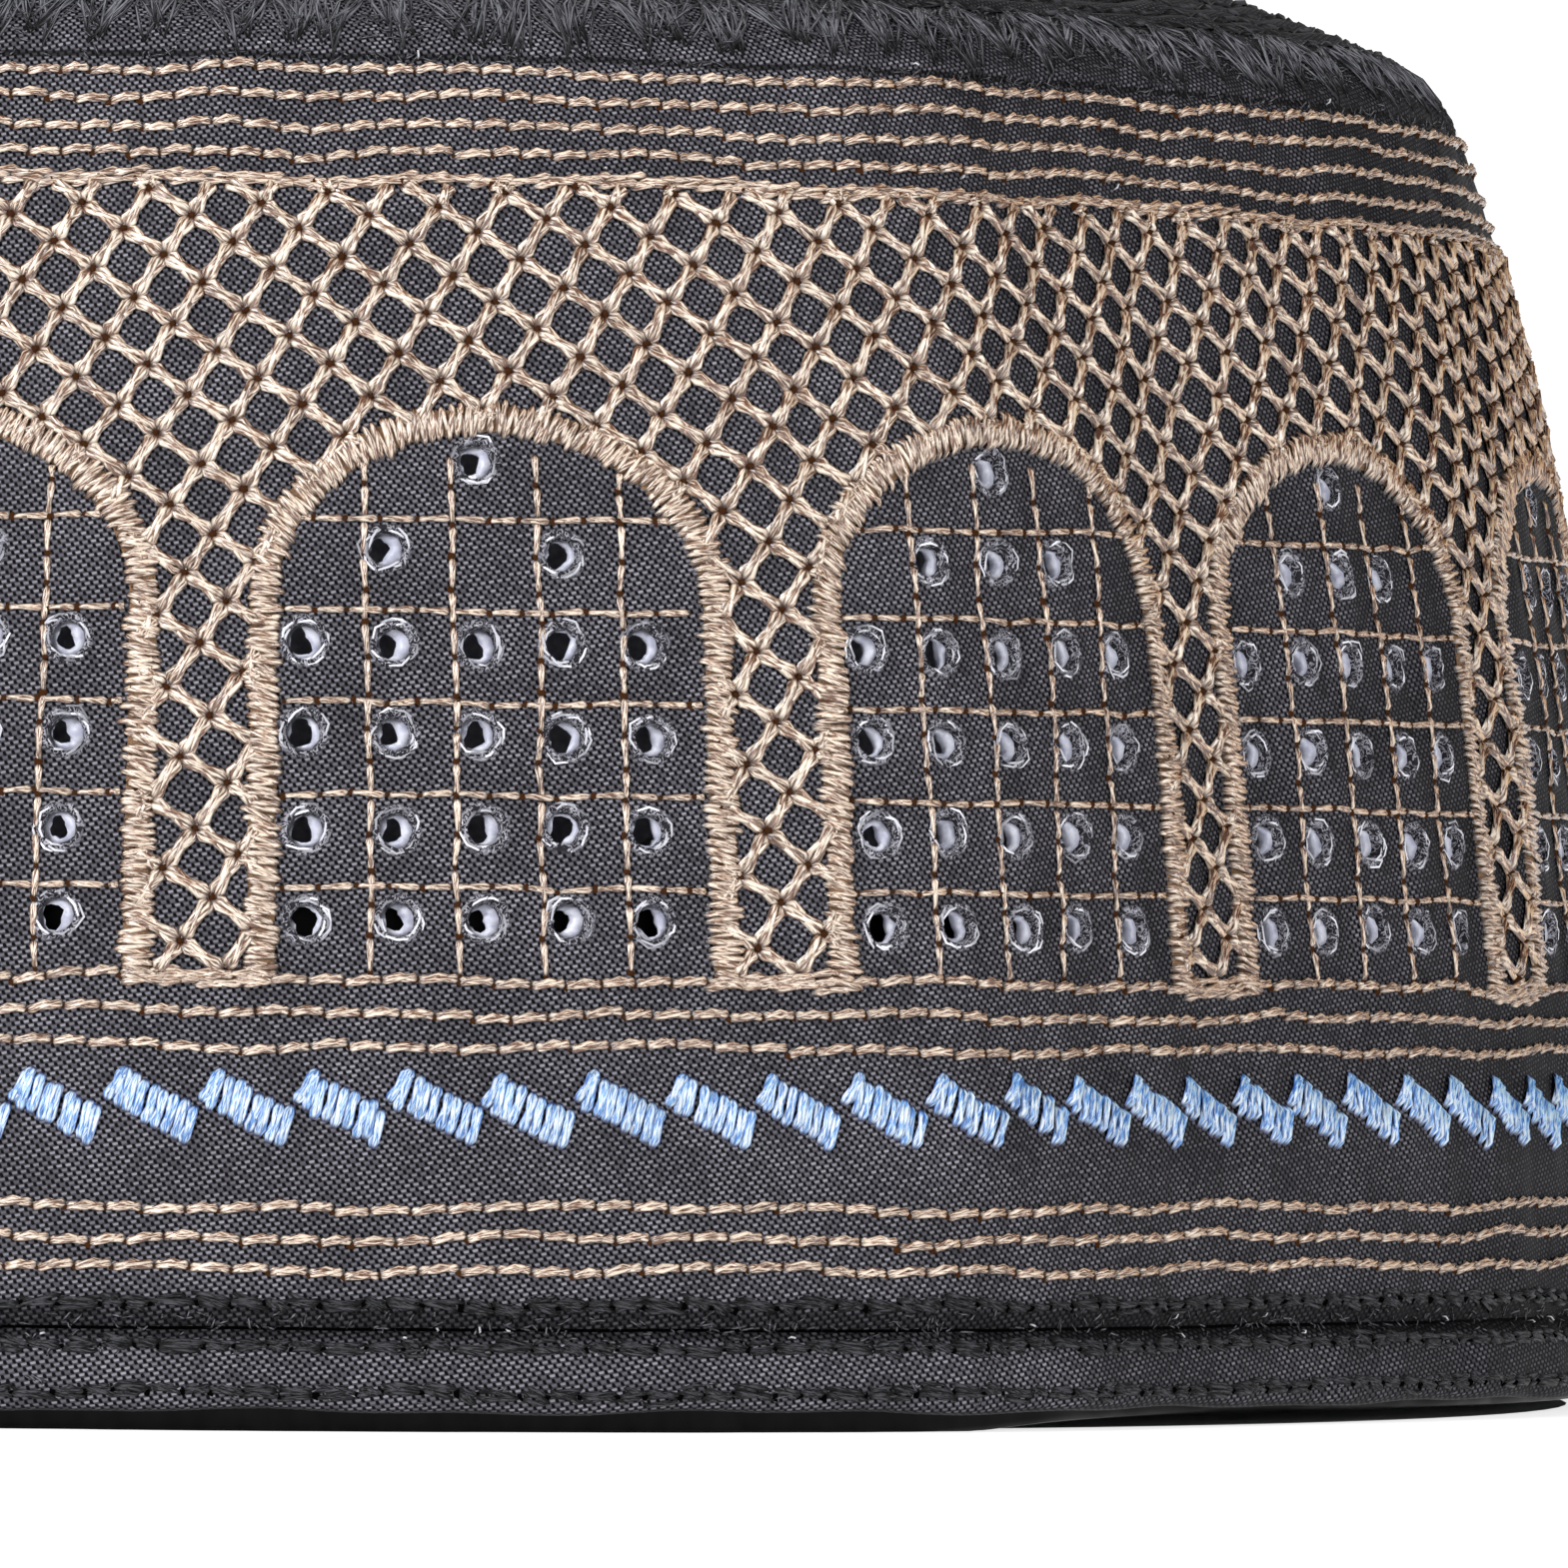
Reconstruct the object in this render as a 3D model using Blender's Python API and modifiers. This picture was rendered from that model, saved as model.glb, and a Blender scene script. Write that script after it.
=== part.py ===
"""Embroidered prayer cap: a stiff round cap of woven cloth, standing on its open mouth.

Units are metres and +Z is up. The origin lies on the resting plane, under the middle of the
cap, and the side with the best view of the embroidery faces -Y.
"""

import math

import bmesh
import bpy
import numpy as np
from mathutils import Matrix, Vector

# Driving dimensions of the cap
HEM_LENGTH = 0.570  # round the outside of the hem
RIM_HEIGHT = 0.0820  # from the hem's edge to the corner where wall and top meet
DOME_RISE = 0.0145  # how far the middle of the top stands above that corner
HEM_LIFT = 0.0012  # the hem's edge is this far above the resting plane
CORNER_BLEND = 0.0045  # length of the path over which wall turns into top

# How the wall closes in on its way up, for each power of height over the hem's radius
WALL_LEAN = (0.1477, -0.1597, 0.2213)

# The outline seen from above is a circle, made slightly oval, with soft bends.
# A place is a share of the way round from the front towards +X; each bend comes twice,
# at its place and at the opposite one, as a cap that has been kept folded flat shows it.
OVAL_COSINE = 0.037
OVAL_SINE = -0.033
SOFT_BENDS = (
    {"place": 0.0823, "turn_deg": 15.4, "width": 0.0090},
    {"place": 0.1268, "turn_deg": -12.9, "width": 0.0060},
)

# Heights above the hem's edge at which the pieces meet
HEM_TOP = 0.0047
WALL_TOP = 0.0778
STIFFENER_TOP = 0.0793
SWEATBAND_TOP = 0.0300
BAND_DROP = 0.0017  # how far the sweatband would hang below the hem before it is trimmed
BAND_REST = 0.088  # share of the way round, each side of front and back, that rests
BINDING_ON_TOP = 0.0034  # how far the binding reaches in from the corner
SEAM_GAP = 0.0003

# Thickness of the pieces
CLOTH = 0.0010
STIFFENER = 0.0012
SWEATBAND = 0.0015
FOLDED_HEM = CLOTH + SEAM_GAP + STIFFENER

# Arched panels of the wall and the eyelets in them
PANELS = 16
FIRST_ARCH = 0.0294  # share of the way round at the middle of the first arch
PIERCED_PANELS = (-1, 0, 1, 2, 3)
ARCH_BASE = 0.0246  # height of the foot of the arches
CELL_WIDTH = 0.0050
CELL_HEIGHT = 0.0053
EYELET_IN_CELL = 0.0034  # height of an eyelet above the lower side of its cell
EYELET_LEFT = 0.0007  # the eyelets sit a little left of the middle of their cells
EYELET_RADIUS = 0.00085
STIFFENER_HOLE_RADIUS = 0.00062
EYELET_ROWS = (
    {"row": 0, "columns": (-2, -1, 0, 1, 2)},
    {"row": 1, "columns": (-2, -1, 0, 1, 2)},
    {"row": 2, "columns": (-2, -1, 0, 1, 2)},
    {"row": 3, "columns": (-2, -1, 0, 1, 2)},
    {"row": 4, "columns": (-1, 0, 1)},
    {"row": 5, "columns": (0,)},
)
LEFT_UNCUT = ({"panel": 0, "row": 4, "column": 0},)  # an eyelet that was never punched

# Facets
COLUMNS_PER_PANEL = 6
PLAIN_COLUMNS = 60
TOP_COLUMNS = 42
SEWN_DISTANCE = 0.00002

HEM_RADIUS = HEM_LENGTH / (2 * math.pi)
SHARES = np.linspace(-0.5, 0.5, 1441)


def outline_of_hem():
    """The hem seen from above: x and y at each of SHARES, as one closed line."""
    heading = 2 * math.pi * SHARES
    heading += OVAL_COSINE * np.cos(4 * math.pi * SHARES)
    heading += OVAL_SINE * np.sin(4 * math.pi * SHARES)
    for bend in SOFT_BENDS:
        turned = np.zeros_like(SHARES)
        for place in (bend["place"] + half / 2 for half in range(-4, 5)):
            turned += 0.5 + 0.5 * np.tanh((SHARES - place) / bend["width"])
        even = 2 * SHARES
        heading += math.radians(bend["turn_deg"]) * (turned - even)
    heading -= np.interp(0, SHARES, heading)
    line = []
    for along in (np.cos(heading), np.sin(heading)):
        steps = (along[1:] + along[:-1]) / 2 * np.diff(SHARES) * HEM_LENGTH
        run = np.concatenate([[0], np.cumsum(steps)])
        run -= run[-1] * (SHARES + 0.5)
        line.append(run - run[:-1].mean())
    return np.array(line)


def path_over_cap():
    """The way up the wall and over the top: size as a share of the hem, height, distance."""
    rise = np.linspace(0, RIM_HEIGHT, 300)
    size = 1 - sum(k * (rise / HEM_RADIUS) ** (n + 1) for n, k in enumerate(WALL_LEAN))
    inwards = np.linspace(1, 0, 300)[1:]
    top = RIM_HEIGHT + DOME_RISE * (1 - inwards**2)
    size = np.concatenate([size, size[-1] * inwards])
    rise = np.concatenate([rise, top])
    distance = np.concatenate([[0], np.cumsum(np.hypot(np.diff(size) * HEM_RADIUS, np.diff(rise)))])
    even = np.linspace(0, distance[-1], 1201)
    half = round(CORNER_BLEND / 2 / even[1])
    kernel = np.ones(2 * half + 1) / (2 * half + 1)
    rounded = []
    for values in (size, rise):
        spaced = np.interp(even, distance, values)
        padded = np.pad(spaced, half, mode="reflect", reflect_type="odd")
        rounded.append(np.convolve(padded, kernel, mode="valid"))
    return rounded[0], rounded[1], even


OUTLINE = outline_of_hem()
PATH_SIZE, PATH_RISE, PATH_WAY = path_over_cap()
WAY_TO_RIM = float(np.interp(RIM_HEIGHT, PATH_RISE, PATH_WAY))
WAY_TO_MIDDLE = float(PATH_WAY[-1])


def way_up(height):
    """Distance along the path to this height on the wall."""
    return float(np.interp(height, PATH_RISE, PATH_WAY)) if height > 0 else height


def outwards(share):
    """Unit vector out of the wall, seen from above."""
    step = 0.002
    ahead, behind = ((share + side * step + 0.5) % 1 - 0.5 for side in (1, -1))
    tangent = [np.interp(ahead, SHARES, line) - np.interp(behind, SHARES, line) for line in OUTLINE]
    length = math.hypot(*tangent)
    return Vector((tangent[1] / length, -tangent[0] / length, 0))


def on_cap(share, way, inset=0.0):
    """Point and outward normal, at a share of the way round and a distance up the path."""
    share = (share + 0.5) % 1 - 0.5
    size = float(np.interp(way, PATH_WAY, PATH_SIZE))
    rise = float(np.interp(way, PATH_WAY, PATH_RISE)) + min(way, 0)
    step = 0.0004
    low, high = max(way - step, 0), min(max(way, 0) + step, WAY_TO_MIDDLE)
    across = float(np.interp(high, PATH_WAY, PATH_SIZE) - np.interp(low, PATH_WAY, PATH_SIZE))
    up = float(np.interp(high, PATH_WAY, PATH_RISE) - np.interp(low, PATH_WAY, PATH_RISE))
    lean = math.hypot(across * HEM_RADIUS, up)
    normal = outwards(share) * (up / lean) + Vector((0, 0, -across * HEM_RADIUS / lean))
    x, y = (float(np.interp(share, SHARES, line)) * size for line in OUTLINE)
    return Vector((x, y, HEM_LIFT + rise)) - normal * inset, normal


def below_hem(share):
    """How far down the sweatband hangs: past the floor at front and back, less at the sides."""
    from_resting_middle = min(abs(share), 0.5 - abs(share))
    return -BAND_DROP * math.exp(-((from_resting_middle / BAND_REST) ** 6))


def cloth_material(name, colour, roughness):
    material = bpy.data.materials.new(name)
    material.use_nodes = True
    shader = material.node_tree.nodes["Principled BSDF"]
    shader.inputs["Base Color"].default_value = (*colour, 1)
    shader.inputs["Roughness"].default_value = roughness
    shader.inputs["Metallic"].default_value = 0
    return material


def rolled_cloth(name, columns, ways, thickness, material, inset=0.0, edge=None):
    """A strip of cloth rolled round the cap along the given distances up the path.

    The strip is a flat grid whose two ends are sewn together, thickened inwards.
    """
    grid = bmesh.new()
    bmesh.ops.create_grid(grid, x_segments=columns, y_segments=len(ways) - 1, size=0.5)
    for vertex in grid.verts:
        share = vertex.co.x
        row = round((vertex.co.y + 0.5) * (len(ways) - 1))
        way = ways[row]
        if edge and row == 0:
            way += edge((share + 0.5) % 1 - 0.5)
        vertex.co = on_cap(share, way, inset)[0]
    bmesh.ops.remove_doubles(grid, verts=grid.verts, dist=SEWN_DISTANCE)
    mesh = bpy.data.meshes.new(name)
    grid.to_mesh(mesh)
    grid.free()
    mesh.shade_smooth()
    mesh.materials.append(material)
    piece = bpy.data.objects.new(name, mesh)
    piece.parent = cap
    pieces.objects.link(piece)
    solid = piece.modifiers.new("thickness", "SOLIDIFY")
    solid.thickness = thickness
    solid.offset = -1
    solid.use_even_offset = True
    return piece


def cut(piece, cutter):
    cutting = piece.modifiers.new(cutter.name, "BOOLEAN")
    cutting.operation = "DIFFERENCE"
    cutting.solver = "EXACT"
    cutting.object = cutter


def cutter_object(name, mesh_maker):
    shape = bmesh.new()
    mesh_maker(shape)
    mesh = bpy.data.meshes.new(name)
    shape.to_mesh(mesh)
    shape.free()
    cutter = bpy.data.objects.new(name, mesh)
    cutter.hide_render = True
    cutter.display_type = "WIRE"
    cutters.objects.link(cutter)
    return cutter


def eyelet_places():
    """Share of the way round and height of every eyelet that is cut through."""
    for panel in PIERCED_PANELS:
        middle = FIRST_ARCH + panel / PANELS
        for line in EYELET_ROWS:
            height = ARCH_BASE + EYELET_IN_CELL + line["row"] * CELL_HEIGHT
            size = float(np.interp(height, PATH_RISE, PATH_SIZE))
            for column in line["columns"]:
                if {"panel": panel, "row": line["row"], "column": column} in LEFT_UNCUT:
                    continue
                aside = column * CELL_WIDTH - EYELET_LEFT
                yield middle + aside / (HEM_LENGTH * size), height


def punch(radius, sides, depth):
    """A round punch at each eyelet, square to the wall and longer than the wall is thick."""

    def fill(shape):
        for share, height in eyelet_places():
            point, normal = on_cap(share, way_up(height), FOLDED_HEM / 2)
            turn = normal.to_track_quat("Z", "Y").to_matrix().to_4x4()
            bmesh.ops.create_cone(
                shape,
                cap_ends=True,
                segments=sides,
                radius1=radius,
                radius2=radius,
                depth=depth,
                matrix=Matrix.Translation(point) @ turn,
            )

    return fill


def floor_block(shape):
    """Everything under the resting plane, to trim the sweatband flat."""
    bmesh.ops.create_cube(shape, size=1)
    wide, deep = 0.3, 0.02
    bmesh.ops.scale(shape, vec=(wide, wide, deep), verts=shape.verts)
    bmesh.ops.translate(shape, vec=(0, 0, -deep / 2), verts=shape.verts)


def make_side_wall():
    """Outer cloth of the wall, with facets that follow the cells of the arched panels."""
    rows = (HEM_TOP + SEAM_GAP, ARCH_BASE, ARCH_BASE + 3 * CELL_HEIGHT)
    rows += (ARCH_BASE + 6.2 * CELL_HEIGHT, WALL_TOP)
    ways = [way_up(height) for height in rows]
    columns = PANELS * COLUMNS_PER_PANEL
    wall = rolled_cloth("side_wall", columns, ways, CLOTH, charcoal_cloth)
    cut(wall, cutter_object("eyelet_punch", punch(EYELET_RADIUS, 6, 0.008)))


def make_stiffener():
    """Pale interlining behind the outer cloth, seen in the holes of the eyelets."""
    rows = (HEM_TOP + SEAM_GAP, ARCH_BASE, ARCH_BASE + 6.2 * CELL_HEIGHT, STIFFENER_TOP)
    ways = [way_up(height) for height in rows]
    inset = CLOTH + SEAM_GAP
    lining = rolled_cloth("stiffener", PLAIN_COLUMNS, ways, STIFFENER, pale_interlining, inset)
    cut(lining, cutter_object("stiffener_punch", punch(STIFFENER_HOLE_RADIUS, 5, 0.008)))


def make_hem_band():
    """Folded strip along the mouth, below the seam that closes the wall."""
    ways = (0.0, way_up(HEM_TOP))
    rolled_cloth("hem_band", PLAIN_COLUMNS, ways, FOLDED_HEM, charcoal_cloth)


def make_sweatband():
    """Smooth black band inside the mouth, on whose flat lower edge the cap stands."""
    inset = FOLDED_HEM + SEAM_GAP
    ways = (0.0, way_up(SWEATBAND_TOP))
    band = rolled_cloth("sweatband", PLAIN_COLUMNS, ways, SWEATBAND, black_band, inset, below_hem)
    cut(band, cutter_object("floor_block", floor_block))


def make_rim_binding():
    """Strip that covers the joint of wall and top and turns over the corner."""
    start = way_up(WALL_TOP + SEAM_GAP)
    end = WAY_TO_RIM + BINDING_ON_TOP
    ways = (start, WAY_TO_RIM - CORNER_BLEND / 3, WAY_TO_RIM + CORNER_BLEND / 3, end)
    rolled_cloth("rim_binding", PLAIN_COLUMNS, ways, CLOTH, charcoal_cloth)


def make_top_panel():
    """Softly domed round of cloth that closes the cap."""
    start = WAY_TO_RIM + BINDING_ON_TOP + SEAM_GAP
    ways = np.linspace(start, WAY_TO_MIDDLE, 5)
    rolled_cloth("top_panel", TOP_COLUMNS, list(ways), CLOTH, charcoal_cloth)


for old in list(bpy.data.objects):
    bpy.data.objects.remove(old)

pieces = bpy.data.collections.new("prayer_cap")
cutters = bpy.data.collections.new("cutters")
cutters.hide_render = True
for collection in (pieces, cutters):
    bpy.context.scene.collection.children.link(collection)
cap = bpy.data.objects.new("cap_origin", None)
pieces.objects.link(cap)

charcoal_cloth = cloth_material("charcoal_woven_polyester", (0.045, 0.043, 0.052), 0.62)
pale_interlining = cloth_material("pale_interlining", (0.42, 0.42, 0.55), 0.8)
black_band = cloth_material("black_sweatband", (0.006, 0.006, 0.008), 0.5)

make_side_wall()
make_stiffener()
make_hem_band()
make_sweatband()
make_rim_binding()
make_top_panel()
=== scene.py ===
import math

import bpy
import numpy as np
from mathutils import Matrix


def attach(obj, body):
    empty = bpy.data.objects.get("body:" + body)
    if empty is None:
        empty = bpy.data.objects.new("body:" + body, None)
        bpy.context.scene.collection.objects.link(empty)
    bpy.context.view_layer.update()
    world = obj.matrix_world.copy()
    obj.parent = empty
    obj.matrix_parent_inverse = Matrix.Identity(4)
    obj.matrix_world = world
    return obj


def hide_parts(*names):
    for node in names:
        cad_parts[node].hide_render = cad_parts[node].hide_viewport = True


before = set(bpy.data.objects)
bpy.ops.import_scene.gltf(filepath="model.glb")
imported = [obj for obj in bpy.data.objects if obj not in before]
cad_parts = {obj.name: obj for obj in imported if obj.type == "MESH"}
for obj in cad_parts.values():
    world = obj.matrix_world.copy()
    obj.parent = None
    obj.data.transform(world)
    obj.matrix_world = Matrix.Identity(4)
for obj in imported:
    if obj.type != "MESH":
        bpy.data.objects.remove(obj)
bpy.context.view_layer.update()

# The camera stands a metre in front of the cap's middle, 26 mm above the level of its hem, and
# looks at its right-hand half through a long lens. The angles are turns from straight ahead, in
# radians.
HEM_LENGTH = 0.570
HEM_RADIUS = HEM_LENGTH / (2 * math.pi)
HEM_LIFT = 0.0012
EYE = (0.0, -11.0062 * HEM_RADIUS, HEM_LIFT + 0.2866 * HEM_RADIUS)
YAW, PITCH, ROLL = 0.0348, 0.0110, 0.0097
FOCAL_SHARE = 15946.8 / 1569  # focal length over the width of the picture

ahead = np.array([math.sin(YAW) * math.cos(PITCH), math.cos(YAW) * math.cos(PITCH), math.sin(PITCH)])
level = np.array([math.cos(YAW), -math.sin(YAW), 0.0])
upright = np.cross(level, ahead)
picture_right = level * math.cos(ROLL) + upright * math.sin(ROLL)
picture_up = -level * math.sin(ROLL) + upright * math.cos(ROLL)

camera = bpy.data.objects.new("camera", bpy.data.cameras.new("camera"))
camera.data.sensor_width = 36
camera.data.lens = 36 * FOCAL_SHARE
camera.matrix_world = Matrix.Translation(EYE) @ Matrix(
    np.column_stack([picture_right, picture_up, -ahead]).tolist()
).to_4x4()
bpy.context.scene.collection.objects.link(camera)
bpy.context.scene.camera = camera

# A photographer's sweep of matt white paper: a wide round floor that turns up into a low wall.
# It stands for the white surroundings of a studio table and isn't part of the cap.
SWEEP_RADIUS = 8.0
SWEEP_PROFILE = (  # share of the radius, height
    (0.0105, 0.0), (0.03, 0.0), (0.2, 0.0), (0.9, 0.0), (0.96, 0.03), (0.99, 0.15), (1.0, 0.4), (1.0, 1.6),
)
SWEEP_SIDES = 96


def linear(hex_colour):
    """An sRGB hex colour as linear red, green, blue and alpha."""
    parts = [int(hex_colour[i:i + 2], 16) / 255 for i in (1, 3, 5)]
    return (*[c / 12.92 if c <= 0.04045 else ((c + 0.055) / 1.055) ** 2.4 for c in parts], 1.0)


def new_material(name, **values):
    """A material of this name, its node tree and its shader, with values for its sockets."""
    material = bpy.data.materials.new(name)
    material.use_nodes = True
    shader = material.node_tree.nodes["Principled BSDF"]
    for key, value in values.items():
        value = linear(value) if isinstance(value, str) else value
        shader.inputs[key.replace("_", " ")].default_value = value
    return material, material.node_tree, shader


def mesh_piece(name, points, faces, material, smooth=True):
    """A mesh object from arrays: points in metres, and faces of three or four corners."""
    mesh = bpy.data.meshes.new(name)
    count, corners = faces.shape
    mesh.vertices.add(len(points))
    mesh.vertices.foreach_set("co", np.asarray(points, np.float32).ravel())
    mesh.loops.add(count * corners)
    mesh.loops.foreach_set("vertex_index", np.asarray(faces, np.int32).ravel())
    mesh.polygons.add(count)
    mesh.polygons.foreach_set("loop_start", np.arange(0, count * corners, corners, dtype=np.int32))
    mesh.polygons.foreach_set("use_smooth", np.full(count, smooth))
    mesh.update(calc_edges=True)
    mesh.materials.append(material)
    piece = bpy.data.objects.new(name, mesh)
    bpy.context.scene.collection.objects.link(piece)
    return piece


def grid_faces(rows, columns, closed):
    """Faces of a grid of rows by columns of points, row after row, that may close on itself."""
    across = np.arange(columns if closed else columns - 1)
    start = np.arange(rows - 1)[:, None] * columns
    left, right = start + across, start + (across + 1) % columns
    return np.stack([left, right, right + columns, left + columns], -1).reshape(-1, 4)


# Most of its white is a glow of its own, as of paper lit from behind, so shadows on it are faint.
paper, _, _ = new_material(
    "matt white paper", Base_Color="#b0b0b0", Roughness=0.9, Emission_Color="#ffffff", Emission_Strength=0.76
)
turn = np.linspace(0, 2 * math.pi, SWEEP_SIDES, endpoint=False)
sweep_points = np.concatenate([
    np.column_stack([
        np.cos(turn) * r * SWEEP_RADIUS, np.sin(turn) * r * SWEEP_RADIUS, np.full(SWEEP_SIDES, z),
    ])
    for r, z in SWEEP_PROFILE
])
floor = mesh_piece("paper_sweep", sweep_points, grid_faces(len(SWEEP_PROFILE), SWEEP_SIDES, True), paper)
# The paper under the cap doesn't glow: it is plain matt white.
shadow_paper, _, _ = new_material("matt white paper in shadow", Base_Color="#d2d2d2", Roughness=0.9)
floor_middle = mesh_piece(
    "paper_under_cap", sweep_points[:SWEEP_SIDES], np.arange(SWEEP_SIDES)[None], shadow_paper, smooth=False
)

# Studio light: one large soft box high at the front left, a weaker one at the right, one from
# above and behind, and an even glow from all round.
SOFT_BOXES = (  # name, direction it comes from, distance, side length, watts
    ("key_light", (-0.75, -1.0, 0.75), 4.0, 1.6, 132),
    ("fill_light", (1.0, -0.75, 0.5), 4.4, 1.0, 54),
    ("back_light", (-0.2, 1.0, 1.2), 4.4, 2.4, 60),
)
GLOW = 0.16
BOUNCES = 2  # charcoal cloth gives so little light back that two are enough

bpy.context.scene.view_settings.view_transform = "Standard"
for kind in ("max_bounces", "diffuse_bounces", "glossy_bounces"):
    setattr(bpy.context.scene.cycles, kind, BOUNCES)
world = bpy.data.worlds.new("studio glow")
world.use_nodes = True
world.node_tree.nodes["Background"].inputs["Color"].default_value = linear("#ffffff")
world.node_tree.nodes["Background"].inputs["Strength"].default_value = GLOW
bpy.context.scene.world = world
for name, direction, distance, side, watts in SOFT_BOXES:
    light = bpy.data.objects.new(name, bpy.data.lights.new(name, "AREA"))
    light.data.size = side
    light.data.energy = watts
    light.location = np.array(direction) / np.linalg.norm(direction) * distance
    light.rotation_euler = light.location.to_track_quat("Z", "Y").to_euler()
    bpy.context.scene.collection.objects.link(light)

# Outer cloth of the wall: charcoal polyester twill, stiffened and quilted by its own embroidery.
# It is one strip sewn into a ring, punched with a hot tool at every eyelet, and slightly
# puckered between the rows of stitches.
RIM_HEIGHT = 0.0820
DOME_RISE = 0.0145
CORNER_BLEND = 0.0045
WALL_LEAN = (0.1477, -0.1597, 0.2213)  # how the wall leans in with its height, its square and its cube
OVAL_COSINE, OVAL_SINE = 0.037, -0.033  # how oval the cap is seen from above
SOFT_BENDS = (  # place as a share of the way round, turn in degrees, width
    (0.0823, 15.4, 0.0090),
    (0.1268, -12.9, 0.0060),
)
SEAM_GAP = 0.0003
CLOTH = 0.0010
HEM_TOP, WALL_TOP = 0.0047, 0.0778
PANELS = 16
FIRST_ARCH = 0.0294  # share of the way round at the middle of the first arch
ARCH_BASE, ARCH_SPRING, ARCH_RISE = 0.0246, 0.0465, 0.0104
ARCH_HALF = 0.7934 / 2 / PANELS  # half the width of an arch as a share of the way round
CELL_WIDTH, CELL_HEIGHT = 0.0050, 0.0053
EYELET_IN_CELL, EYELET_LEFT = 0.0034, 0.0007
EYELET_RADIUS = 0.00098
EYELET_ROWS = ((0, 2), (1, 2), (2, 2), (3, 2), (4, 1), (5, 0))  # row, columns each side
EYELET_UNEVEN = (0.00022, 0.00016)  # how far off its place an eyelet may be, across and up
LEFT_UNCUT = (0, 4, 0)  # panel, row and column of an eyelet that was never punched
TAN_ROUNDS = (  # name, heights of the rounds of tan stitches
    ("upper_tan_stitches", (0.0772, 0.0756, 0.0739, 0.0723)),
    ("middle_tan_stitches", (0.0246, 0.0227, 0.0208)),
    ("lower_tan_stitches", (0.0116, 0.00984, 0.00807)),
)
ROW_PULL, ROW_PULL_WIDTH = 0.00013, 0.0007  # how deep and wide a round of stitches pulls the cloth in
SEAM_PULLS, SEAM_PULL_WIDTH = (0.00055, 0.00025), 0.0006  # the same for the seams of the hem and the rim
BLUE_SWELL = (0.0163, 0.00022, 0.0028)  # height, depth and width of the plump strip behind the blue zigzag
RELIEF_HEIGHT = 0.08  # height of wall over which the soft waves are counted
RELIEF_WAVES = (  # depth, turns round the cap, turns up the wall, phase
    (0.00011, 23, 1.3, 0.4), (0.00009, 41, -2.1, 1.9), (0.00007, 67, 3.4, 5.1),
    (0.00005, 113, -4.2, 2.6), (0.00004, 171, 6.3, 0.9), (0.00003, 263, -3.1, 4.4),
)
RIM_PULL = (  # distance up the path past the rim, and how far the zigzag pulls the binding in there
    (-0.0045, 0.0), (-0.0030, -0.0005), (-0.0015, -0.0008), (0.0, -0.0008), (0.0034, -0.0006),
    (0.0150, -0.0005), (0.0250, 0.0),
)
WALL_COLUMNS = 32 * PANELS
WALL_ROWS = 62
BLOCK = 2  # grid steps from an eyelet's middle to the edge of its block

SHARES = np.linspace(-0.5, 0.5, 1441)


def outline_of_hem():
    """The hem seen from above: x and y at each of SHARES, as one closed line."""
    heading = 2 * math.pi * SHARES
    heading += OVAL_COSINE * np.cos(4 * math.pi * SHARES) + OVAL_SINE * np.sin(4 * math.pi * SHARES)
    for place, degrees, width in SOFT_BENDS:
        turned = sum(0.5 + 0.5 * np.tanh((SHARES - place - half / 2) / width) for half in range(-4, 5))
        heading += math.radians(degrees) * (turned - 2 * SHARES)
    heading -= np.interp(0, SHARES, heading)
    line = []
    for along in (np.cos(heading), np.sin(heading)):
        run = np.concatenate([[0], np.cumsum((along[1:] + along[:-1]) / 2 * np.diff(SHARES) * HEM_LENGTH)])
        run -= run[-1] * (SHARES + 0.5)
        line.append(run - run[:-1].mean())
    return np.array(line)


def path_over_cap():
    """The way up the wall and over the top: size as a share of the hem, height, distance."""
    rise = np.linspace(0, RIM_HEIGHT, 300)
    size = 1 - sum(k * (rise / HEM_RADIUS) ** (n + 1) for n, k in enumerate(WALL_LEAN))
    inwards = np.linspace(1, 0, 300)[1:]
    size = np.concatenate([size, size[-1] * inwards])
    rise = np.concatenate([rise, RIM_HEIGHT + DOME_RISE * (1 - inwards**2)])
    distance = np.concatenate([[0], np.cumsum(np.hypot(np.diff(size) * HEM_RADIUS, np.diff(rise)))])
    even = np.linspace(0, distance[-1], 1201)
    half = round(CORNER_BLEND / 2 / even[1])
    kernel = np.ones(2 * half + 1) / (2 * half + 1)
    rounded = []
    for values in (size, rise):
        padded = np.pad(np.interp(even, distance, values), half, mode="reflect", reflect_type="odd")
        rounded.append(np.convolve(padded, kernel, mode="valid"))
    return rounded[0], rounded[1], even


OUTLINE = outline_of_hem()
PATH_SIZE, PATH_RISE, PATH_WAY = path_over_cap()
WAY_TO_RIM = float(np.interp(RIM_HEIGHT, PATH_RISE, PATH_WAY))
WAY_TO_MIDDLE = float(PATH_WAY[-1])


def way_up(height):
    """Distance along the path to a height above the hem's edge."""
    height = np.asarray(height, float)
    return np.where(height > 0, np.interp(height, PATH_RISE, PATH_WAY), height)


def length_round(way):
    """Length of the way round the cap at a distance up the path."""
    return HEM_LENGTH * np.interp(way, PATH_WAY, PATH_SIZE)


def wrapped(share):
    """A share of the way round, brought back between minus a half and a half."""
    return (np.asarray(share, float) + 0.5) % 1 - 0.5


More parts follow.
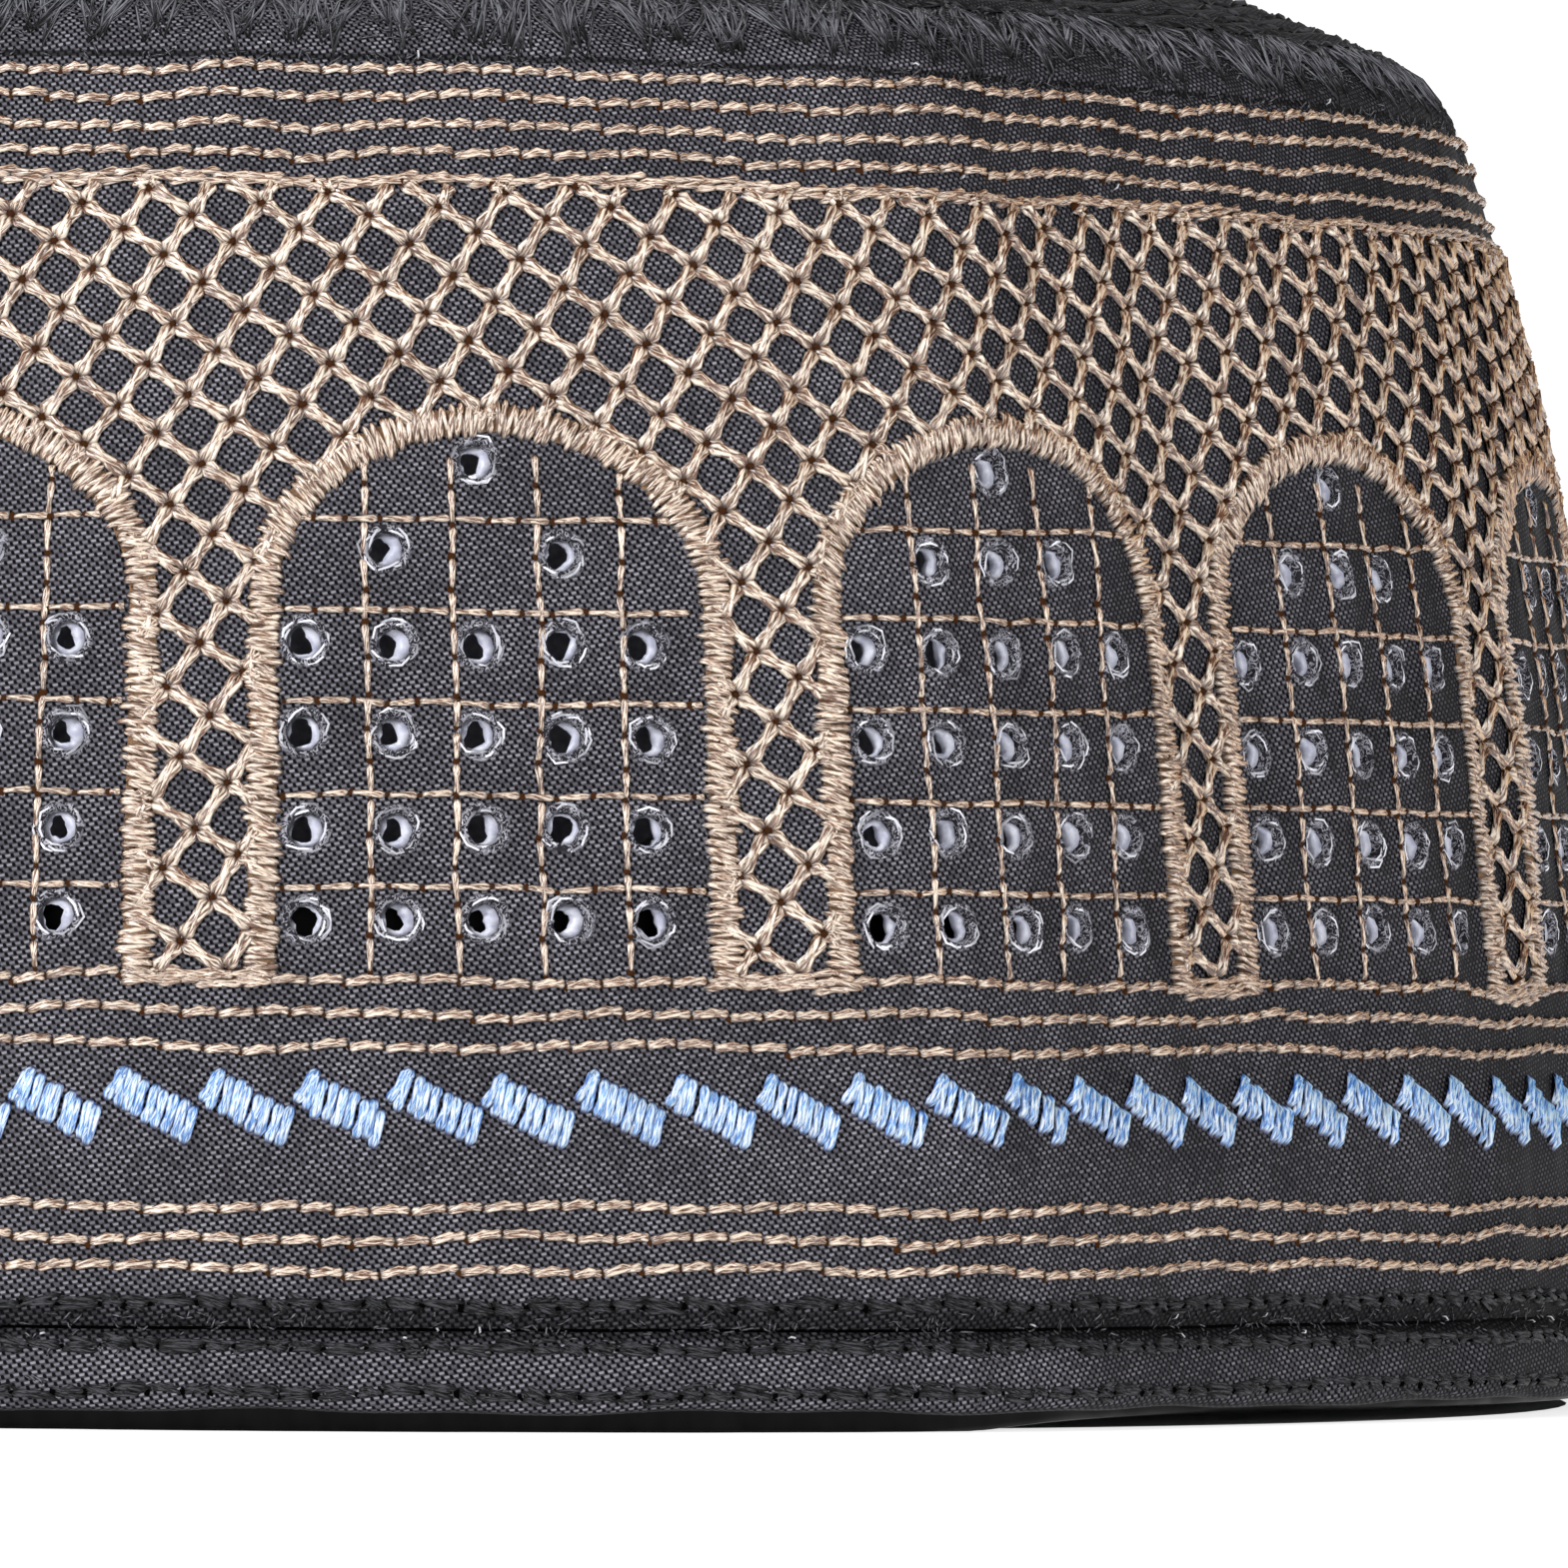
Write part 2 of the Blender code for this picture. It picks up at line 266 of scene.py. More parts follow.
def on_cap(share, way, lift=0.0):
    """Points and outward normals at shares of the way round and distances up the path."""
    share, way, lift = np.broadcast_arrays(wrapped(share), way, lift)
    aside, above = 0.002, 0.0004  # share and distance to the neighbours that give the slope
    tangent = [
        np.interp(wrapped(share + aside), SHARES, line) - np.interp(wrapped(share - aside), SHARES, line)
        for line in OUTLINE
    ]
    length = np.hypot(*tangent)
    low, high = np.clip(way - above, 0, None), np.clip(np.clip(way, 0, None) + above, None, WAY_TO_MIDDLE)
    across = (np.interp(high, PATH_WAY, PATH_SIZE) - np.interp(low, PATH_WAY, PATH_SIZE)) * HEM_RADIUS
    up = np.interp(high, PATH_WAY, PATH_RISE) - np.interp(low, PATH_WAY, PATH_RISE)
    lean = np.hypot(across, up)
    normal = np.stack([tangent[1] / length * up / lean, -tangent[0] / length * up / lean, -across / lean], -1)
    size = np.interp(way, PATH_WAY, PATH_SIZE)
    rise = np.interp(way, PATH_WAY, PATH_RISE) + np.minimum(way, 0)
    x, y = (np.interp(share, SHARES, line) * size for line in OUTLINE)
    return np.stack([x, y, HEM_LIFT + rise], -1) + normal * lift[..., None], normal


# The highest of the middle rounds lies along the feet of the arches, where the cloth doesn't give.
WAY_OF_ROWS = way_up([height for _, heights in TAN_ROUNDS for height in heights if height != ARCH_BASE])
WAY_OF_SEAMS = way_up((HEM_TOP + SEAM_GAP / 2, WALL_TOP + SEAM_GAP / 2))


def relief(share, way):
    """How far the cloth stands out from the smooth form: seams, stitched rows and soft waves."""
    share, way = np.broadcast_arrays(share, way)
    out = np.zeros(share.shape)
    for depth, round_cap, up_wall, phase in RELIEF_WAVES:
        out = out + depth * np.sin(2 * math.pi * (round_cap * share + up_wall * way / RELIEF_HEIGHT) + phase)
    for row in WAY_OF_ROWS:
        out -= ROW_PULL * np.exp(-((way - row) / ROW_PULL_WIDTH) ** 2)
    for seam, depth in zip(WAY_OF_SEAMS, SEAM_PULLS):
        out -= depth * np.exp(-((way - seam) / SEAM_PULL_WIDTH) ** 2)
    height, depth, width = BLUE_SWELL
    out += depth * np.exp(-((way - way_up(height)) / width) ** 2)
    return out + np.interp(way - WAY_TO_RIM, *zip(*RIM_PULL))


def on_cloth(share, way, lift=0.0):
    """Points and normals on the puckered cloth."""
    return on_cap(share, way, lift + relief(share, way))


def all_eyelets():
    """Share of the way round and height of each eyelet of the sixteen arches, slightly uneven."""
    places = []
    for panel in range(-PANELS // 2, PANELS // 2):
        for row, each_side in EYELET_ROWS:
            height = ARCH_BASE + EYELET_IN_CELL + row * CELL_HEIGHT
            size = float(np.interp(height, PATH_RISE, PATH_SIZE))
            for column in range(-each_side, each_side + 1):
                if (panel, row, column) != LEFT_UNCUT:
                    aside = column * CELL_WIDTH - EYELET_LEFT
                    places.append((FIRST_ARCH + panel / PANELS + aside / (HEM_LENGTH * size), height))
    places = np.array(places)
    uneven = np.random.default_rng(7).uniform(-1, 1, places.shape)
    return places + uneven * np.array([EYELET_UNEVEN[0] / HEM_LENGTH, EYELET_UNEVEN[1]])


EYELETS = all_eyelets()


def pierced_ring(name, heights, material, rings, seed, inset=0.0):
    """A ring of cloth on a fine grid, with a round block of faces about each eyelet.

    Each of rings is a function of the angles about the eyelet and of random numbers, and
    gives radius, shift to the right, lift and melting of one loop of sixteen points.
    """
    ways = way_up(heights)
    shares = np.arange(WALL_COLUMNS) / WALL_COLUMNS - 0.5
    share, way = (a.ravel() for a in np.meshgrid(shares, ways))
    lift = np.full(share.shape, -inset)
    melt = np.zeros(share.shape)
    kept = np.ones((len(heights) - 1, WALL_COLUMNS), bool)
    faces = []
    random = np.random.default_rng(seed)
    steps = np.arange(-BLOCK, BLOCK + 1)
    loop = [(i, -BLOCK) for i in steps[:-1]] + [(BLOCK, j) for j in steps[:-1]]
    loop += [(i, BLOCK) for i in steps[:0:-1]] + [(-BLOCK, j) for j in steps[:0:-1]]
    more = []
    total = len(share)
    for place, height in EYELETS:
        column = round((place + 0.5) * WALL_COLUMNS)
        row = int(np.abs(heights - height).argmin())
        kept[row - BLOCK:row + BLOCK, np.arange(column - BLOCK, column + BLOCK) % WALL_COLUMNS] = False
        outer = np.array([(row + j) * WALL_COLUMNS + (column + i) % WALL_COLUMNS for i, j in loop])
        middle = float(way_up(height))
        around = length_round(middle)
        angle = np.arctan2(way[outer] - middle, wrapped(share[outer] - place) * around)
        draw = random.uniform(-1, 1, (6, len(loop)))
        for ring in rings:
            radius, right, out, melted = ring(angle, draw)
            more.append(np.stack([
                place + (radius * np.cos(angle) + right) / around,
                middle + radius * np.sin(angle),
                np.broadcast_to(out, angle.shape) - inset,
                np.full(angle.shape, melted),
            ]))
            inner = total + np.arange(len(loop))
            total += len(loop)
            faces.append(np.stack([outer, np.roll(outer, -1), np.roll(inner, -1), inner], -1))
            outer = inner
    share, way, lift, melt = np.concatenate([np.stack([share, way, lift, melt]), *more], axis=1)
    grid = grid_faces(len(heights), WALL_COLUMNS, True)[kept.ravel()]
    faces = np.concatenate([grid, *faces])
    used, faces = np.unique(faces, return_inverse=True)
    share, way, lift = share[used], way[used], lift[used]
    faces = faces.reshape(-1, 4)
    piece = mesh_piece(name, on_cloth(share, way, lift)[0], faces, material)
    melting = piece.data.attributes.new("melt", "FLOAT", "POINT")
    melting.data.foreach_set("value", melt[used].astype(np.float32))
    cloth_map(piece, share, way, faces)
    return piece


def cloth_map(piece, share, way, faces):
    """A UV map in metres along and across the cloth, whole across the place where it closes."""
    along = share[faces]
    along = along + (along.max(1, keepdims=True) - along > 0.5)
    uv = np.stack([along * HEM_LENGTH, way[faces]], -1)
    layer = piece.data.uv_layers.new(name="cloth")
    layer.data.foreach_set("uv", uv.astype(np.float32).ravel())


def add(tree, kind, inputs=(), out=0, **settings):
    """One node with its settings, and one of its outputs, or all of them where out is None.

    The inputs come in order or by name: values, hex colours, or output sockets to link.
    """
    node = tree.nodes.new("ShaderNode" + kind)
    for key, value in settings.items():
        setattr(node, key, value)
    for key, value in inputs.items() if isinstance(inputs, dict) else enumerate(inputs):
        if isinstance(value, bpy.types.NodeSocket):
            tree.links.new(value, node.inputs[key])
        else:
            node.inputs[key].default_value = linear(value) if isinstance(value, str) else value
    return node.outputs if out is None else node.outputs[out]


FLOAT_PITCH, FLOAT_ROW = 0.00052, 0.00027  # from one float of the weave to the next, and row to row
FLOAT_SHIFT = 0.40  # each row starts this share of a pitch further on, which draws the twill's slant
ROW_RISE = 0.155  # the rows climb to the right by this much
PIT_LEAN = 0.22  # how much the pits between the floats lean
PIT_SPOT = (0.33, 0.5, 0), (4.1, 1.3, 0)  # middle of the pit in its cell, and one over its reach each way
FLOAT_SPOT = (0.70, 0.56, 0), (1.75, 2.9, 0)  # the same for the float
SHADED_DITCHES = (0.0050, 0.0007), (float(way_up(0.0781)), 0.00014)  # way up and half width of each ditch darkened with painted shade
MELT_CURL = 2600.0  # turns of the melted curls in a metre, about one in 0.4 mm


def twill_material(name, pit, body, pale, rough, bump):
    """Charcoal polyester twill: grey floats over a darker ground with black pits between them.

    The eye sees fine pale dashes that run into slanting lines, painted shade where the cloth is
    seen at a slant, nearly black bands of painted shade in the ditches of the two seams, which also
    stand for the black fuzz in them, and round each eyelet a ring of grey curls where the hot punch
    melted the cloth.
    """
    material, tree, shader = new_material(name, Roughness=rough, Specular_IOR_Level=0.08)
    uv = add(tree, "UVMap", uv_map="cloth")
    place = add(tree, "SeparateXYZ", (uv,), out=None)
    climb = add(tree, "Math", (place[0], -ROW_RISE, place[1]), operation="MULTIPLY_ADD")
    rows = add(tree, "Math", (climb, FLOAT_ROW), operation="DIVIDE")
    row = add(tree, "Math", (rows,), operation="FLOOR")
    floats = add(tree, "Math", (place[0], FLOAT_PITCH), operation="DIVIDE")
    floats = add(tree, "Math", (row, -FLOAT_SHIFT, floats), operation="MULTIPLY_ADD")
    number = add(tree, "Math", (floats,), operation="FLOOR")
    x = add(tree, "Math", (floats,), operation="FRACT")
    y = add(tree, "Math", (rows,), operation="FRACT")
    leaning = add(tree, "Math", (y, PIT_LEAN, x), operation="MULTIPLY_ADD")
    spots = []
    for along, (middle, stretch) in ((leaning, PIT_SPOT), (x, FLOAT_SPOT)):
        spot = add(tree, "CombineXYZ", (along, y))
        spot = add(tree, "VectorMath", (spot, middle), operation="SUBTRACT")
        spot = add(tree, "VectorMath", (spot, stretch), operation="MULTIPLY")
        spot = add(tree, "VectorMath", (spot,), out="Value", operation="LENGTH")
        spots.append(add(tree, "MapRange", (spot, 1.1, 0.6), interpolation_type="SMOOTHSTEP"))
    which = add(tree, "CombineXYZ", (number, row))
    luck = add(tree, "TexWhiteNoise", (which,), noise_dimensions="2D")
    luck = add(tree, "MapRange", {"Value": luck, "To Min": 0.15, "To Max": 1.0})
    paleness = add(tree, "Math", (spots[1], luck), operation="MULTIPLY")
    cloudy = add(tree, "TexNoise", {"Vector": uv, "Scale": 160.0, "Detail": 3.0})
    cloudy = add(tree, "MapRange", (cloudy, 0.3, 0.7, 0.7, 1.2))
    weave = add(tree, "Mix", {0: paleness, 6: body, 7: pale}, out=2, data_type="RGBA")
    weave = add(tree, "Mix", {0: spots[0], 6: weave, 7: pit}, out=2, data_type="RGBA")
    shade = cloudy
    # Nearly black bands in the ditches of the two seams: painted shade, which also stands for the black fuzz
    # in them.
    for middle, half in SHADED_DITCHES:
        away = add(tree, "Math", (place[1], middle), operation="SUBTRACT")
        away = add(tree, "Math", (away,), operation="ABSOLUTE")
        ditch = add(tree, "MapRange", (away, half, 1.6 * half, 0.25))
        shade = add(tree, "Math", (shade, ditch), operation="MULTIPLY")
    weave = add(tree, "VectorMath", (weave, shade), operation="MULTIPLY")
    # Darker where the cloth is seen at a slant: painted shade for the side of the cap turned from the key
    # light.
    aslant = add(tree, "LayerWeight", {"Blend": 0.5}, out="Facing")
    aslant_shade = add(tree, "MapRange", (aslant, 0.2, 0.65, 1.0, 0.24))
    weave = add(tree, "VectorMath", (weave, aslant_shade), operation="MULTIPLY")
    raised = add(tree, "Math", (paleness, spots[0]), operation="SUBTRACT")
    spot = add(tree, "TexCoord", out="Object")
    curls = add(tree, "TexNoise", {"Vector": spot, "Scale": MELT_CURL, "Detail": 1.5, "Distortion": 1.2})
    curls = add(tree, "Math", (curls, 0.5), operation="SUBTRACT")
    curls = add(tree, "Math", (curls,), operation="ABSOLUTE")
    curls = add(tree, "MapRange", (curls, 0.070, 0.015), interpolation_type="SMOOTHSTEP")
    melt = add(tree, "Attribute", out="Fac", attribute_name="melt")
    melted = add(tree, "Mix", {0: curls, 6: "#28272c", 7: "#aaa9b4"}, out=2, data_type="RGBA")
    edge = add(tree, "MapRange", (melt, 0.35, 0.75))
    final = add(tree, "Mix", {0: edge, 6: weave, 7: melted}, out=2, data_type="RGBA")
    tree.links.new(final, shader.inputs["Base Color"])
    curled = add(tree, "Math", (curls, edge), operation="MULTIPLY")
    height = add(tree, "Math", (raised, curled), operation="MAXIMUM")
    bumps = add(tree, "Bump", {"Height": height, "Strength": bump, "Distance": 0.00010})
    tree.links.new(bumps, shader.inputs["Normal"])
    return material


def cloth_ring(angle, draw):
    """Flat cloth, just outside the melted lip."""
    return 0.00158 + 0.00010 * draw[3], 0.0, 0.0, 0.3


def raised_ring(angle, draw):
    """Crest of the melted lip."""
    return 0.00125 + 0.00009 * draw[0], 0.0, 0.00013 + 0.00008 * draw[1], 1.0


def cut_ring(angle, draw):
    """Edge of the hole."""
    radius = EYELET_RADIUS * (1.10 + 0.05 * draw[4, 0]) + 0.00008 * draw[0]
    return radius, 0.0, 0.00008 + 0.00006 * draw[2], 1.0


def cut_wall_ring(angle, draw):
    """Inner edge of the hole, most of the cloth's thickness further in."""
    radius = EYELET_RADIUS * (0.97 + 0.05 * draw[4, 0]) + 0.00006 * draw[0]
    return radius, 0.0, -0.6 * CLOTH, 1.0


twill = twill_material(
    "charcoal polyester twill", pit="#010102", body="#413f46", pale="#8f8d96", rough=0.6, bump=0.7,
)
wall_heights = np.linspace(HEM_TOP + SEAM_GAP / 2, WALL_TOP + SEAM_GAP / 2, WALL_ROWS + 1)
wall = pierced_ring(
    "wall_cloth", wall_heights, twill, (cloth_ring, raised_ring, cut_ring, cut_wall_ring), seed=11,
)
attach(wall, "root")
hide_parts("side_wall")

# Interlining: a pale non-woven sheet behind the cloth, punched together with it. In each eyelet
# its soft edge bulges into the hole from the right and leaves an uneven dark opening.
INTERLINING = 0.0012
INTERLINING_INSET = CLOTH + SEAM_GAP
PIERCED_HEIGHTS = 0.0225, 0.0595  # between these the interlining has the same fine grid as the cloth

fine = (wall_heights > PIERCED_HEIGHTS[0]) & (wall_heights < PIERCED_HEIGHTS[1])
interlining_heights = np.concatenate([[HEM_TOP + SEAM_GAP, 0.014], wall_heights[fine], [0.068, 0.0793]])


def backing_ring(angle, draw):
    """Flat interlining behind the lip."""
    return 0.00135 + 0 * angle, 0.0, 0.0, 0.0


def bulge_ring(angle, draw):
    """The bulge into the hole, highest at its right."""
    return 0.00092 + 0.00005 * draw[3], 0.0, 0.00055 + 0.00030 * np.cos(angle) + 0.0001 * draw[0], 0.0


def opening_at(angle, draw):
    """Radius and shift of the opening: upright, uneven, and left of the middle."""
    slant, lobes, size, aside = draw[4, :4]
    radius = 0.00068 + 0.00012 * np.cos(2 * (angle - math.pi / 2 - 0.5 * slant))
    radius = radius + 0.00010 * np.cos(3 * angle + 3 * lobes)
    radius = radius * (1.0 + 0.18 * size) + 0.00006 * draw[1]
    aside = -0.00022 + 0.00016 * aside
    return np.minimum(radius, 0.00088 + aside * np.cos(angle) * -1), aside


def opening_ring(angle, draw):
    """Edge of the opening."""
    radius, aside = opening_at(angle, draw)
    return radius, aside, 0.00062 + 0.0001 * draw[2], 0.0


def opening_wall_ring(angle, draw):
    """Inner edge of the opening."""
    radius, aside = opening_at(angle, draw)
    return 1.15 * radius, aside, 0.0001, 0.0


def toned_material(name, value_of, dark, pale, ends=(0.0, 1.0), bump=0.0, **values):
    """A material between two tones, picked by the output that value_of makes in its node tree."""
    material, tree, shader = new_material(name, **values)
    value = value_of(tree)
    colour = add(tree, "ValToRGB", (value,))
    for element, place, tone in zip(colour.node.color_ramp.elements, ends, (dark, pale)):
        element.position, element.color = place, linear(tone)
    tree.links.new(colour, shader.inputs["Base Color"])
    if bump:
        bumps = add(tree, "Bump", {"Height": value, "Strength": bump, "Distance": 0.0001})
        tree.links.new(bumps, shader.inputs["Normal"])
    return material


def pressed_fibres(tree):
    """Mottling of the pressed fibres, about one blot in 0.7 mm."""
    place = add(tree, "TexCoord", out="Object")
    return add(tree, "TexNoise", {"Vector": place, "Scale": 1500.0, "Detail": 4.0})


# Pressed polyester fibres: a smooth lavender white, mottled, with a slight gloss.
felt = toned_material(
    "pale non-woven interlining", pressed_fibres, dark="#b3b5cc", pale="#edeffb", ends=(0.3, 0.7), bump=0.4,
    Roughness=0.35,
)
interlining = pierced_ring(
    "interlining", interlining_heights, felt, (backing_ring, bulge_ring, opening_ring, opening_wall_ring),
    seed=12, inset=INTERLINING_INSET,
)
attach(interlining, "root")
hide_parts("stiffener")

# Hem band: a folded strip of the same twill along the mouth, below the ditch of its seam.
# Its lower fold is round, and slightly wavy where the stitches pull it in.
HEM_TUCK = 0.0022  # how far the band turns in under its lower fold
HEM_PROFILE = (  # distance up the path, lift
    (0.0010, -HEM_TUCK), (0.0003, -HEM_TUCK * 0.8), (0.0001, -0.0010), (0.00015, -0.00045),
    (0.0004, -0.00015), (0.0009, 0.0), (0.0016, 0.00008), (0.0023, 0.0001), (0.0030, 0.00008),
    (0.0037, 0.00002), (0.0042, 0.0), (0.0047, 0.0),
)


def strip(name, profile, material, columns=WALL_COLUMNS, edge_wave=None):
    """A ring of cloth from a profile: distance up the path and lift, row after row."""
    shares = np.arange(columns) / columns - 0.5
    rows = np.array(profile)
    share, way = (a.ravel() for a in np.meshgrid(shares, rows[:, 0]))
    lift = np.repeat(rows[:, 1], columns)
    faces = grid_faces(len(rows), columns, True)
    shift = edge_wave(share, way) if edge_wave else 0.0
    points = on_cloth(share, way + shift, lift)[0]
    points[:, 2] = np.maximum(points[:, 2], 0.0)
    piece = mesh_piece(name, points, faces, material)
    measure = np.concatenate([[0], np.cumsum(np.hypot(*np.diff(rows, axis=0).T))])
    measure += rows[-1, 0] - measure[-1]
    cloth_map(piece, share, np.repeat(measure, columns), faces)
    return piece


def hem_wave(share, way):
    """The hem's edge runs slightly up and down."""
    near_edge = np.exp(-(np.clip(way, 0, None) / 0.0018) ** 2)
    wave = 0.00010 * np.sin(2 * math.pi * 19 * share + 1) + 0.00007 * np.sin(2 * math.pi * 47 * share)
    return wave * near_edge


hem = strip("hem_cloth", HEM_PROFILE, twill, edge_wave=hem_wave)
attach(hem, "root")
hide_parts("hem_band")

# Sweatband: smooth black coated cloth inside the mouth, folded over at its lower edge, on
# which the cap stands at front and back. It shows as a black line under the hem.
SWEATBAND = 0.0015
BAND_DROP, BAND_REST = 0.0017, 0.088
BAND_OUT = -(CLOTH + SEAM_GAP + INTERLINING + SEAM_GAP)
BAND_IN = BAND_OUT - SWEATBAND
BAND_PROFILE = (  # distance up the path, lift
    (0.030, BAND_OUT), (0.012, BAND_OUT), (0.002, BAND_OUT), (0.0003, BAND_OUT), (0.0, BAND_OUT - 0.0002),
    (0.0, BAND_OUT - 0.0013), (0.0003, BAND_IN), (0.002, BAND_IN), (0.012, BAND_IN), (0.0280, BAND_IN),
    (0.030, BAND_IN + 0.0004), (0.0302, BAND_OUT - 0.0003),
)


def band_edge(share, way):
    """The lower edge hangs past the hem at front and back and is pressed flat on the floor."""
    from_middle = np.minimum(np.abs(share), 0.5 - np.abs(share))
    hang = -BAND_DROP * np.exp(-((from_middle / BAND_REST) ** 6))
    return np.where(way < 0.0004, np.maximum(hang, -HEM_LIFT), 0.0)


def coated_weave(tree):
    """Slight unevenness of the coating over the weave, about one blot in 1.1 mm."""
    uv = add(tree, "UVMap", uv_map="cloth")
    return add(tree, "TexNoise", {"Vector": uv, "Scale": 900.0, "Detail": 2.0})


# Tightly woven satin with a smooth coating: nearly even black, with a soft broad gloss.
coated = toned_material(
    "black coated satin", coated_weave, dark="#050405", pale="#0d0c0d", ends=(0.35, 0.7), Roughness=0.42,
    Specular_IOR_Level=0.10,
)
band = strip("sweatband_cloth", BAND_PROFILE, coated, edge_wave=band_edge)
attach(band, "root")
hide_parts("sweatband")

# Binding of the rim: a strip of charcoal cloth over the joint of wall and top, turned over the
# corner and sewn down with dark zigzag stitches.
BINDING_ON_TOP = 0.0034
BINDING_ROWS = 13

binding_start = float(way_up(WALL_TOP + SEAM_GAP / 2))
binding_end = WAY_TO_RIM + BINDING_ON_TOP
binding_ways = np.linspace(binding_start, binding_end, BINDING_ROWS)
binding = strip("rim_cloth", [(way, 0.0) for way in binding_ways], twill)
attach(binding, "root")
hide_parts("rim_binding")

# Top: a round of the same twill, softly domed, stitched in rings from the rim to the middle.
# Its edge is tucked under the binding.
TOP_RING_STEP = 0.0024
TOP_COLUMNS = 160
TOP_TUCK = (0.0020, 0.0006)  # how far its edge reaches under the binding, and how deep
TOP_SWELL, TOP_SINK = 0.00028, 0.00010
FIRST_TOP_RING = WAY_TO_RIM + 0.0022


def top_relief(way):
    """The cloth of the top swells between its rings of stitches."""
    return TOP_SWELL * np.abs(np.sin(math.pi * (way - FIRST_TOP_RING) / TOP_RING_STEP)) - TOP_SINK


top_ways = np.arange(binding_end, WAY_TO_MIDDLE - 0.0004, TOP_RING_STEP / 4)
top_profile = [(binding_end - TOP_TUCK[0], -TOP_TUCK[1]), *((way, top_relief(way)) for way in top_ways)]
top = strip("top_cloth", top_profile, twill, columns=TOP_COLUMNS)
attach(top, "root")
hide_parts("top_panel")

# Tan running stitches: glossy polyester embroidery thread, three plies to a stitch, in level
# rounds up the wall. Each stitch dives into a dark needle hole at both ends.
STITCH_PITCH = HEM_LENGTH / 259
THREAD = 0.00032  # width of one ply as it lies
STITCH_ARCH = 0.00009  # how far the middle of a stitch lies above its ends
SINK = 0.00005  # how far the ends of a strand lie in the cloth
FLATTENED = 0.85  # height of a strand over its width
BENT_IN = 0.4  # exponent that sets the rings of a strand close to its ends, where it bends most
OPEN_ARC = (-12, 192)  # degrees from one edge of a strand over its top to the other
WINDING_FLAT = 0.6  # height of the winding of a strand over its width


def strands(name, start, end, width, crown, material, seed, bow=0.0, phase=None, spread=0.0, turns=0.5,
            segments=3, arc=3, slender=0.7, gather=0.4, plump=0.28):
    """Short arched strands of thread in one mesh, from start to end in share and distance up.

    A strand may bow to the right of its way, and wind about the stitch's middle line from its
    phase by a number of turns. Slender and gather are its width and its distance from that
    line at the ends, as shares of those in the middle. The strands are open underneath, where
    they touch the cloth.
    """
    count = len(start)
    width, crown, bow = (np.broadcast_to(a, count)[:, None] for a in (width, crown, bow))
    t = np.linspace(-1, 1, segments + 1)[None, :]
    t = 0.5 + 0.5 * np.sign(t) * np.abs(t) ** BENT_IN
    share = start[:, :1] + wrapped(end[:, :1] - start[:, :1]) * t
    way = start[:, 1:] + (end[:, 1:] - start[:, 1:]) * t
    swell = np.clip(np.sin(math.pi * t), 0, 1) ** plump
    point, normal = on_cloth(share, way, crown * swell - SINK)
    along = point[:, -1:] - point[:, :1]
    along = along / np.linalg.norm(along, axis=-1, keepdims=True)
    side = np.cross(along, normal)
    side /= np.linalg.norm(side, axis=-1, keepdims=True)
    point = point + side * (bow * np.sin(math.pi * t))[..., None]
    if phase is not None:
        wound = phase[:, None] + 2 * math.pi * turns * t
        point = point + side * (spread * np.cos(wound) * (gather + (1 - gather) * swell))[..., None]
        point = point + normal * (WINDING_FLAT * spread * np.sin(wound) * swell)[..., None]
    half = width / 2 * (slender + (1 - slender) * swell)
    turn = np.radians(np.linspace(*OPEN_ARC, arc))[None, None, :, None]
    rim = side[:, :, None] * np.cos(turn) + normal[:, :, None] * np.sin(turn) * FLATTENED
    points = (point[:, :, None] + rim * half[..., None, None]).reshape(-1, 3)
    one = grid_faces(segments + 1, arc, False)
    faces = (one[None] + (np.arange(count) * (segments + 1) * arc)[:, None, None]).reshape(-1, 4)[:, ::-1]
    piece = mesh_piece(name, points, faces, material)
    across = np.broadcast_to(np.linspace(0, 1, arc)[None, None], (count, segments + 1, arc)).ravel()
    lengthwise = np.broadcast_to(t[:, :, None], (count, segments + 1, arc)).ravel()
    layer = piece.data.uv_layers.new(name="thread")
    layer.data.foreach_set("uv", np.stack([across, lengthwise], -1)[faces].astype(np.float32).ravel())
    tone = piece.data.attributes.new("tone", "FLOAT", "POINT")
    luck = np.random.default_rng(seed + 500).random(count)
    tone.data.foreach_set("value", np.repeat(luck, (segments + 1) * arc).astype(np.float32))
    return piece


TWIST = 1.1  # how far across a strand its filaments wind on their way along it
FILAMENTS = (3.2, 2.4, 90.0)  # streaks across a strand and along it; the last sets strands apart


